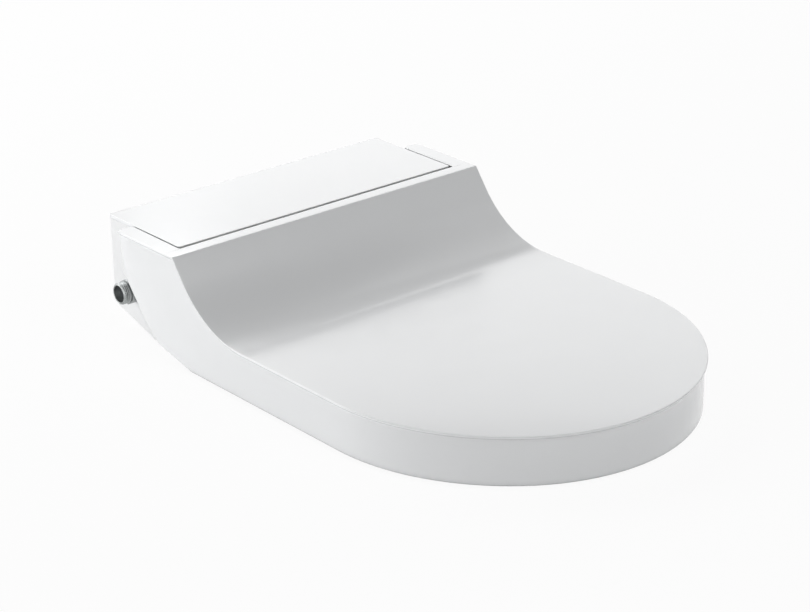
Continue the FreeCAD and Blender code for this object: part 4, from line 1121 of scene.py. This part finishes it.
    def make_skirt(self) -> bpy.types.Object:
        """The skirt: a wall whose top grows out of the lip's slope, carried round the plan.

        Its cross-section is a closed line of inset and place; the upper places are
        depths under the outer surface and the lower ones heights over the foot's own
        line, which rises behind the middle of the housing.

        Returns:
            The piece.
        """
        nose = self.nose()
        plain = self.side(0.0)
        more = len(plain) - len(nose)
        corner = self.arm_corner
        bend = arc((self.half_width - corner, self.arm_rear - corner), corner, 0.0, 90.0,
                   self.corner_steps)[1:]
        turn = np.radians(np.linspace(0.0, 90.0, self.corner_steps + 1)[1:])
        run = np.linspace(bend[-1, 0] - 1.0 * MM, self.arm_inner + 0.5 * MM, 5)
        x = np.concatenate([nose[:, 0], np.full(more, self.half_width), bend[:, 0], run])
        nx = np.concatenate([nose[:, 2], np.ones(more), np.cos(turn), np.zeros(len(run))])
        ny = np.concatenate([nose[:, 3], np.zeros(more), np.sin(turn), np.ones(len(run))])
        rear_y = np.append(bend[:, 1], np.full(len(run), self.arm_rear))
        outer, inner = self.overhang, self.overhang + self.skirt_wall
        reach, depth = self.lip_turn
        left = outer - reach
        inward, down = np.array(self.hang_share).T
        hang_inset, hang_depth = reach + left * inward, depth + left * down
        stand = np.array(self.foot_round) * MM
        upper = []
        for value in (*hang_depth, self.skin - 0.4 * MM):
            rear = np.column_stack([rear_y, np.full(len(rear_y), self.top_height - value)])
            upper.append(np.vstack([self.side(value), rear]))
        along = np.append(plain[:, 0], rear_y)
        foot = np.interp(along, *np.array(self.foot_line).T)
        foot[-len(run):] = np.minimum(foot[-1] + 6 * MM * np.arange(1, len(run) + 1), self.end_low)
        lower = np.concatenate([stand + [outer, 0.0],
                                np.column_stack([inner - stand[::-1, 0], stand[::-1, 1]])])
        columns = list(zip(hang_inset, upper))
        columns += [(inset, np.column_stack([along, foot + lift])) for inset, lift in lower]
        columns.append((inner, upper[-1]))
        right = np.stack([np.column_stack([x - inset * nx, line[:, 0] - inset * ny, line[:, 1]])
                          for inset, line in columns], axis=1)
        other = right[1:][::-1] * np.array([-1.0, 1.0, 1.0])
        points = np.concatenate([other, right])
        rows, count = points.shape[:2]
        faces = grid_faces(rows, count, wrap_columns=True).tolist()
        faces += end_caps(rows, count)
        return make_piece("lid_skirt", points.reshape(-1, 3), faces, 34.0)

    def make_boss(self, side: int, word: str) -> bpy.types.Object:
        """The hinge boss on the inner side of one skirt wall, with a rounded rim.

        Args:
            side: -1 on the left and 1 on the right.
            word: the piece's word for that side.

        Returns:
            The piece.
        """
        wall = self.half_width - self.overhang - self.skirt_wall
        reach, radius = np.array(self.boss_profile).T * MM
        profile = np.column_stack([side * (wall + reach), radius])
        points, _ = turned(profile, HINGE, self.boss_steps)
        faces = grid_faces(len(profile), self.boss_steps, wrap_rows=True, wrap_columns=True)
        return make_piece(f"lid_boss_{word}", points, faces.tolist())

    def build(self) -> None:
        """Make the lid's pieces, dress them and let them ride with the lid."""
        self.pieces = [self.make_skin(), self.make_skirt()]
        for side, word in ((-1, "left"), (1, "right")):
            self.pieces.append(self.make_boss(side, word))
        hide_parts("lid")
        for piece in self.pieces:
            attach(piece, "lid")
            self.shelf.dress(piece, "gloss_white")
        LOG.info("lid: %d pieces", len(self.pieces))


# ----------------------------------------------------------------- cover plate


@dataclass
class CoverPlate:
    """The flat plate let in over the housing, with eased edges."""

    shelf: FinishShelf
    corner: float = 2.2 * MM
    edge: float = 0.5 * MM
    corner_steps: int = 6
    edge_steps: int = 4

    def build(self) -> None:
        """A rounded rectangle carried through an eased edge, closed above and below."""
        low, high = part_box("design_cover")
        part = quarter(self.corner_steps)
        turn = np.concatenate([part + index * math.pi / 2 for index in range(4)])
        side = np.repeat([[1, 1], [-1, 1], [-1, -1], [1, -1]], len(part), axis=0)
        middle = np.array([(low.x + high.x) / 2, (low.y + high.y) / 2])
        half = np.array([(high.x - low.x) / 2, (high.y - low.y) / 2]) - self.corner
        normal = np.column_stack([np.cos(turn), np.sin(turn)])
        outline = middle + side * half + self.corner * normal
        over = eased(self.edge, self.edge_steps)
        depth = high.z - low.z
        profile = np.concatenate([[[self.edge * 2, 0.0]], over,
                                  np.column_stack([over[::-1, 0], depth - over[::-1, 1]]),
                                  [[self.edge * 2, depth]]])
        rings = [np.column_stack([outline - inset * normal, np.full(len(outline), high.z - down)])
                 for inset, down in profile]
        count = len(outline)
        faces = grid_faces(len(rings), count, wrap_columns=True).tolist()
        faces += end_caps(len(rings), count)
        piece = make_piece("cover_plate", np.concatenate(rings), faces, 30.0)
        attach(piece, "cover")
        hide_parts("design_cover")
        self.shelf.dress(piece, "gloss_white")
        LOG.info("cover plate: 1 piece")


# ----------------------------------------------------------------- water inlet


@dataclass
class WaterInlet:
    """The threaded nipple and its hexagon collar."""

    shelf: FinishShelf
    back: float = 79 * MM
    height: float = 44 * MM
    mouth: float = -178.5 * MM
    root: float = -161.5 * MM
    crest: float = 10.45 * MM
    bore: float = 8.2 * MM
    pitch: float = 1.814 * MM
    thread_depth: float = 0.9 * MM
    thread_end: float = -171.6 * MM
    collar_start: float = -169.8 * MM
    collar_end: float = -160.3 * MM
    collar_corner: float = 13.1 * MM
    lead: float = 1.4 * MM
    sides: int = 144
    thread_rows: int = 72

    def thread(self, place: np.ndarray, radius: np.ndarray) -> np.ndarray:
        """Cut the helix: the crest less a rounded tooth wave of x / pitch + t / turn.

        Args:
            place: stacked x and angle.
            radius: the plain radius.

        Returns:
            The cut radius; only crest-high points behind the chamfer change.
        """
        x, turn = place
        wave = np.abs(((x / self.pitch + turn / (2 * math.pi)) % 1.0) * 2 - 1)
        tooth = np.clip(wave * 1.5 - 0.25, 0.0, 1.0)
        fade = np.clip((x - self.mouth - 0.4 * MM) / (0.9 * MM), 0.0, 1.0)
        fade = fade * np.clip((self.thread_end - x) / (0.8 * MM), 0.0, 1.0)
        chosen = (radius > self.crest - 0.1 * MM) & (x < self.thread_end)
        return np.where(chosen, self.crest - self.thread_depth * tooth * fade, radius)

    def hexagon(self, place: np.ndarray, radius: np.ndarray) -> np.ndarray:
        """Hexagon flats under a chamfer cone: the least of flat / cos(t) and the cone.

        Args:
            place: stacked x and angle.
            radius: the cone's radius at x.

        Returns:
            The collar's radius.
        """
        turn = (place[1] + math.pi / 6) % (math.pi / 3) - math.pi / 6
        flat = self.collar_corner * math.cos(math.pi / 6) / np.cos(turn)
        return np.where(radius > self.crest, np.minimum(flat, radius), radius)

    def build(self) -> None:
        """Make the nipple and the collar as one piece that rides on the housing."""
        mouth, crest, bore = self.mouth, self.crest, self.bore
        end, corner = self.thread_end, self.collar_corner
        near, far = self.collar_start, self.collar_end
        front = np.array([
            [self.root, 0.0], [self.root, bore], [mouth + 0.35 * MM, bore],
            [mouth + 0.05 * MM, bore + 0.3 * MM], [mouth, bore + 0.35 * MM],
            [mouth, crest - 1.55 * MM], [mouth + 0.15 * MM, crest - 1.3 * MM],
            [mouth + 1.2 * MM, crest - 0.3 * MM]])
        helix = np.linspace(mouth + self.lead, end, self.thread_rows)
        relief = np.array([
            [end + 0.1 * MM, crest - 0.7 * MM], [end + 0.8 * MM, crest - 0.95 * MM],
            [near + 0.2 * MM, crest - 0.95 * MM], [near + 0.5 * MM, 0.0]])
        collar = np.array([
            [near, 0.0], [near, crest + 0.8 * MM], [near + 0.15 * MM, crest + 1.2 * MM],
            [near + 0.9 * MM, corner - 0.1 * MM], [near + 1.3 * MM, corner],
            [far - 1.3 * MM, corner], [far - 0.9 * MM, corner - 0.1 * MM],
            [far, crest + 1.1 * MM], [far, 0.0]])
        tube = np.concatenate([front, np.column_stack([helix, np.full(len(helix), crest)]), relief])
        centre = (self.back, self.height)
        points, faces = turned(tube, centre, self.sides, self.thread)
        more, collar_faces = turned(collar, centre, self.sides, self.hexagon, len(points))
        piece = make_piece("inlet_nipple", np.concatenate([points, more]),
                           [*faces.tolist(), *collar_faces.tolist()], 40.0)
        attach(piece, "housing")
        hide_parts("water_inlet_nipple")
        self.shelf.dress(piece, "dark_metal")
        LOG.info("water inlet: 1 piece")


# ------------------------------------------------------------------- seat ring


@dataclass
class SeatRing:
    """The heated ring: a rounded, hollow-bottomed seat and two hinge arms."""

    shelf: FinishShelf
    half_width: float = 170 * MM
    front: float = -426 * MM
    nose_stretch: float = 10 * MM
    nose_tuck: float = 10 * MM
    rear: float = -44 * MM
    low: float = 8 * MM
    high: float = 40 * MM
    wall: float = 3 * MM
    round_outer: float = 6 * MM
    round_inner: float = 8 * MM
    rear_corner: float = 3 * MM
    hole_half: float = 105 * MM
    hole_margin: float = 75 * MM
    hole_rear: float = -91 * MM
    hole_corner: float = 60 * MM
    arm_near: float = 161.7 * MM
    arm_thick: float = 8 * MM
    arm_edge: float = 1.4 * MM
    bore: float = 4.05 * MM
    notch_half: float = 73 * MM
    notch_high: float = 29.5 * MM
    notch_ahead: float = 7 * MM
    notch_slope: float = 2 * MM
    behind_lid: float = 10 * MM
    pole_shift: float = 6 * MM
    arm_points: tuple[tuple[float, float], ...] = (
        (0.0, 50.0), (-30.0, 20.0), (-44.0, 11.0), (-60.0, 10.0), (-60.0, 38.0), (-20.0, 76.0))
    boss_radius: float = 10 * MM
    boss_turn: tuple[float, float] = (130.0, -52.0)
    boss_steps: int = 24
    nose_steps: tuple[int, int] = (48, 16)
    hole_steps: tuple[int, int] = (40, 24)
    round_steps: int = 6
    top_rows: int = 8
    fine_steps: int = 400
    count: int = 168

    def outer_line(self) -> np.ndarray:
        """The outer outline, from the front's middle round the right to the rear's middle.

        After the nose and the straight side come a small corner and the straight rear.

        Returns:
            Points of the right half.
        """
        nose, _ = nose_line(self.half_width, self.front, self.nose_stretch, self.nose_tuck,
                            self.nose_steps)
        corner = self.rear_corner
        rear = arc((self.half_width - corner, self.rear - corner), corner, 0.0, 90.0,
                   self.round_steps)
        return np.concatenate([nose, rear, [[0.0, self.rear]]])

    def inner_line(self) -> np.ndarray:
        """The opening's outline: a round front, straight sides and round rear corners.

        Its margin is counted from the lid's front, which lies behind_lid before the ring's.

        Returns:
            Points of the right half.
        """
        centre = self.front - self.behind_lid + self.hole_margin + self.hole_half
        reach = self.hole_half - self.hole_corner
        return np.concatenate([
            arc((0.0, centre), self.hole_half, -90.0, 0.0, self.hole_steps[0]),
            arc((reach, self.hole_rear - self.hole_corner), self.hole_corner, 0.0, 90.0,
                self.hole_steps[1]),
            [[0.0, self.hole_rear]]])

    def stations(self, line: np.ndarray) -> tuple[np.ndarray, np.ndarray]:
        """Spread stations round a whole outline at the angles they share.

        Args:
            line: the right half of an outline.

        Returns:
            Points and outward normals of count stations round the outline.
        """
        middle = np.array([0.0, (self.hole_rear + self.front) / 2 - self.pole_shift])
        fine = np.concatenate([line, (line[1:-1] * [-1.0, 1.0])[::-1], line[:1]])
        step = np.linspace(0.0, 1.0, self.fine_steps)
        dense = np.concatenate([a + (b - a) * step[:, None] for a, b in zip(fine, fine[1:])])
        angle = np.unwrap(np.arctan2(dense[:, 1] - middle[1], dense[:, 0] - middle[0]))
        wanted = np.linspace(angle[0], angle[0] + 2 * math.pi, self.count, endpoint=False)
        points = np.column_stack([np.interp(wanted, angle, dense[:, axis]) for axis in (0, 1)])
        ahead = np.roll(points, -1, axis=0) - np.roll(points, 1, axis=0)
        normals = np.column_stack([ahead[:, 1], -ahead[:, 0]])
        return points, normals / np.linalg.norm(normals, axis=1, keepdims=True)

    def make_shell(self) -> bpy.types.Object:
        """The seat: one closed cross-section carried round between the two outlines.

        From the outer wall's foot it goes up, over the rounded and slightly domed top,
        down the opening's wall, and back along the hollow underside.

        Returns:
            The piece.
        """
        outer, out_normal = self.stations(self.outer_line())
        inner, in_normal = self.stations(self.inner_line())
        turn = quarter(self.round_steps)
        big, small = self.round_outer, self.round_inner
        rise = [(0.5 * MM, self.low), (0.0, self.low + 0.5 * MM)]
        rise += [(big * (1 - math.cos(t)), self.high - big * (1 - math.sin(t))) for t in turn]
        fall = [(small * (1 - math.cos(t)), self.high - small * (1 - math.sin(t)))
                for t in turn[::-1]]
        fall += [(0.0, self.low + 0.5 * MM), (0.5 * MM, self.low)]
        back = [(self.wall - 0.3 * MM, self.low), (self.wall, self.low + 0.3 * MM),
                (self.wall, self.high - self.wall)]
        rings = [(outer - inset * out_normal, height) for inset, height in rise]
        first, last = rings[-1][0], inner + fall[0][0] * in_normal
        rings += [(first * (1 - share) + last * share, self.high)
                  for share in np.linspace(0.0, 1.0, self.top_rows)[1:-1]]
        rings += [(inner + inset * in_normal, height) for inset, height in fall]
        rings += [(inner + inset * in_normal, height) for inset, height in back]
        rings += [(outer - inset * out_normal, height) for inset, height in back[::-1]]
        points = np.stack([np.column_stack([line, np.full(len(line), height)])
                           for line, height in rings])
        behind = (points[..., 1] - self.hole_rear + self.notch_ahead) / self.notch_slope
        inside = (self.notch_half - np.abs(points[..., 0])) / self.notch_slope
        lifted = np.maximum(points[..., 2], self.notch_high)
        share = np.clip(behind, 0.0, 1.0) * np.clip(inside, 0.0, 1.0)
        points[..., 2] = points[..., 2] * (1 - share) + lifted * share
        rows, columns = points.shape[:2]
        faces = grid_faces(rows, columns, wrap_rows=True, wrap_columns=True)
        return make_piece("ring_shell", points.reshape(-1, 3), faces.tolist(), 40.0)

    def make_arm(self, side: int, word: str) -> bpy.types.Object:
        """One hinge arm: a flat plate with round edges and a bored boss.

        The outline is the hull line round the ring's rear corner and the boss; each ring
        of the plate is that line moved in by the edge's rounding.

        Args:
            side: -1 on the left and 1 on the right.
            word: the piece's word for that side.

        Returns:
            The piece.
        """
        boss = arc(HINGE, self.boss_radius, *self.boss_turn, self.boss_steps)
        line = np.concatenate([boss, np.array(self.arm_points) * MM])
        step = np.linspace(0.0, 1.0, 6, endpoint=False)
        closed = np.vstack([line, line[:1]])
        line = np.concatenate([a + (b - a) * step[:, None] for a, b in zip(closed, closed[1:])])
        ahead = np.roll(line, -3, axis=0) - np.roll(line, 3, axis=0)
        normal = np.column_stack([-ahead[:, 1], ahead[:, 0]])
        normal /= np.linalg.norm(normal, axis=1, keepdims=True)
        turn = quarter(4)
        edge = self.arm_edge
        near, far = self.arm_near, self.arm_near + self.arm_thick
        rim = [(edge * (1 - math.cos(t)), edge * (1 - math.sin(t))) for t in turn]
        profile = [(near + reach, inset) for reach, inset in rim]
        profile += [(far - reach, inset) for reach, inset in rim[::-1]]
        along, up = HINGE
        angle = np.arctan2(line[:, 1] - up, line[:, 0] - along)
        bore = np.column_stack([along + self.bore * np.cos(angle), up + self.bore * np.sin(angle)])
        rings = [np.column_stack([np.full(len(line), side * x), line - inset * normal])
                 for x, inset in profile]
        rings += [np.column_stack([np.full(len(line), side * x), bore]) for x in (far, near)]
        points = np.stack(rings)
        faces = grid_faces(*points.shape[:2], wrap_rows=True, wrap_columns=True)
        return make_piece(f"ring_arm_{word}", points.reshape(-1, 3), faces.tolist(), 32.0)

    def build(self) -> None:
        """Make the seat and its arms, and let them ride with the CAD's ring."""
        pieces = [self.make_shell(), self.make_arm(-1, "left"), self.make_arm(1, "right")]
        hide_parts("seat_ring")
        for piece in pieces:
            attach(piece, "seat")
            self.shelf.dress(piece, "seat_white")
        LOG.info("seat ring: %d pieces", len(pieces))


# --------------------------------------------------------------- other CAD nodes


@dataclass
class Works:
    """The housing's shells and everything that stays as the CAD has it."""

    shelf: FinishShelf
    soft: dict[str, float] = field(default_factory=lambda: {
        "base_shell": 1.0 * MM, "top_shell": 1.0 * MM, "mounting_plate": 0.8 * MM,
        "filter_drawer": 0.6 * MM, "seat_buffers": 1.5 * MM, "lid_buffers": 0.8 * MM,
        "seat_ring_base": 0.6 * MM, "spray_nozzle": 0.7 * MM, "power_button": 0.5 * MM,
        "wash_button": 0.5 * MM, "power_inlet": 0.4 * MM, "solenoid_valve": 0.8 * MM,
        "flow_heater": 1.5 * MM, "power_supply": 1.5 * MM, "water_pump": 1.2 * MM,
        "presence_window": 0.3 * MM,
    })

    def build(self) -> None:
        """Give every shown CAD node its slot's finish, and ease the edges of some."""
        slots = {entry["node"]: entry["material_slot"] for entry in frame["record"]["subparts"]}
        for name, piece in frame["nodes"].items():
            self.shelf.dress(piece, slots[name])
            if name in self.soft and not piece.hide_render:
                soften_edges(piece, self.soft[name])
        LOG.info("works: %d nodes dressed, %d eased", len(frame["nodes"]), len(self.soft))


# ---------------------------------------------------------------------- studio


@dataclass(frozen=True)
class Lamp:
    """One soft area light."""

    name: str
    place: Triple
    size: tuple[float, float]
    power: float
    aim: Triple = MIDDLE

    def build(self) -> None:
        """Make the light and turn it to its aim."""
        data = bpy.data.lights.new(self.name, "AREA")
        data.shape = "RECTANGLE"
        data.size, data.size_y = self.size
        data.energy = self.power
        lamp = bpy.data.objects.new(self.name, data)
        lamp.location = self.place
        lamp.rotation_mode = "QUATERNION"
        lamp.rotation_quaternion = (Vector(self.aim) - Vector(self.place)).to_track_quat("-Z", "Y")
        bpy.context.scene.collection.objects.link(lamp)


@dataclass
class Studio:
    """Floor, surroundings, lamps and camera."""

    eye: Triple = (-1.3341, -1.7479, 0.9375)
    azimuth: float = -39.36
    elevation: float = 22.985
    roll: float = -0.94
    lens: float = 111.5
    sensor: float = 36.0
    clip: tuple[float, float] = (0.05, 30.0)
    ambient: float = 0.03
    sky: Colour = (0.97, 0.985, 1.0)
    floor_reach: float = 6.0
    floor_drop: float = 0.2 * MM
    floor_tones: tuple[Colour, Colour] = ((0.9, 0.9, 0.9), (0.92, 0.92, 0.92))
    floor_glow: float = 0.93
    lamps: tuple[Lamp, ...] = (
        Lamp("behind", (0.0, 1.4, 1.3), (2.0, 0.9), 17.8),
        Lamp("left_wall", (-1.7, -0.1, 0.4), (1.5, 0.7), 9.4),
        Lamp("right_wall", (1.7, -0.1, 0.4), (1.5, 0.7), 2.0),
        Lamp("right_top", (1.4, 0.0, 1.2), (1.5, 0.8), 2.2),
        Lamp("front_low", (0.3, -2.2, 0.45), (1.5, 0.7), 5.2),
        Lamp("front_top", (0.2, -1.6, 1.4), (1.5, 0.8), 11.0),
        Lamp("right_rear", (1.3, 1.3, 0.6), (1.2, 0.9), 4.6),
        Lamp("left_rear", (-1.3, 1.3, 0.6), (1.2, 0.9), 13.8),
    )

    def make_floor(self) -> None:
        """A wide pale floor that looks white and keeps part of the shadow."""
        corners = np.array([[-1, -1], [1, -1], [1, 1], [-1, 1]]) * self.floor_reach
        points = np.column_stack([corners, np.full(4, -self.floor_drop)])
        floor = make_piece("floor", points, [[0, 1, 2, 3]])
        material = bpy.data.materials.new("floor_white")
        material.use_nodes = True
        graph = ShaderGraph(material.node_tree)
        mottle = graph.noise(3.0, 3.0)
        tone = graph.blend(mottle, *self.floor_tones)
        seen = graph.directly_seen()
        matt = graph.add("ShaderNodeBsdfDiffuse", None, {"Color": tone})
        white = graph.add("ShaderNodeEmission", None, {"Strength": 1.0})
        mixed = graph.add("ShaderNodeMixShader", None,
                          {0: seen * self.floor_glow, 1: matt.outputs[0], 2: white.outputs[0]})
        graph.add("ShaderNodeOutputMaterial", None, {"Surface": mixed.outputs[0]})
        floor.data.materials.append(material)

    def make_surroundings(self) -> None:
        """A soft grey surround that is white where it is seen directly."""
        world = bpy.data.worlds.new("surround")
        bpy.context.scene.world = world
        world.use_nodes = True
        graph = ShaderGraph(world.node_tree)
        seen = graph.directly_seen()
        soft = graph.add("ShaderNodeBackground", None,
                         {"Color": (*self.sky, 1.0), "Strength": self.ambient})
        white = graph.add("ShaderNodeBackground", None, {"Strength": 1.0})
        mixed = graph.add("ShaderNodeMixShader", None,
                          {0: seen, 1: soft.outputs[0], 2: white.outputs[0]})
        graph.add("ShaderNodeOutputWorld", None, {"Surface": mixed.outputs[0]})

    def make_camera(self) -> None:
        """The camera, from its angles: right, up and back are the turn's columns."""
        a, e, r = (math.radians(v) for v in (self.azimuth, self.elevation, self.roll))
        back = Vector((math.sin(a) * math.cos(e), -math.cos(a) * math.cos(e), math.sin(e)))
        flat = Vector((math.cos(a), math.sin(a), 0.0))
        rise = back.cross(flat)
        right = flat * math.cos(r) + rise * math.sin(r)
        up = back.cross(right)
        data = bpy.data.cameras.new("camera")
        data.lens = self.lens
        data.sensor_width = self.sensor
        data.clip_start, data.clip_end = self.clip
        camera = bpy.data.objects.new("camera", data)
        turn = Matrix((right, up, back)).transposed().to_4x4()
        camera.matrix_world = Matrix.Translation(self.eye) @ turn
        bpy.context.scene.collection.objects.link(camera)
        bpy.context.scene.camera = camera

    def build(self) -> None:
        """Set up everything round the object."""
        self.make_floor()
        self.make_surroundings()
        for lamp in self.lamps:
            lamp.build()
        self.make_camera()
        bpy.context.scene.view_settings.view_transform = "Standard"
        LOG.info("studio: %d lamps", len(self.lamps))


def main() -> None:
    """Build the lid, plate, inlet, ring, works and studio in that order."""
    logging.basicConfig(level=logging.INFO, format="%(message)s")
    shelf = FinishShelf()
    for assembly in (Lid(shelf), CoverPlate(shelf), WaterInlet(shelf), SeatRing(shelf),
                     Works(shelf), Studio()):
        assembly.build()


if __name__ == "__main__":
    main()
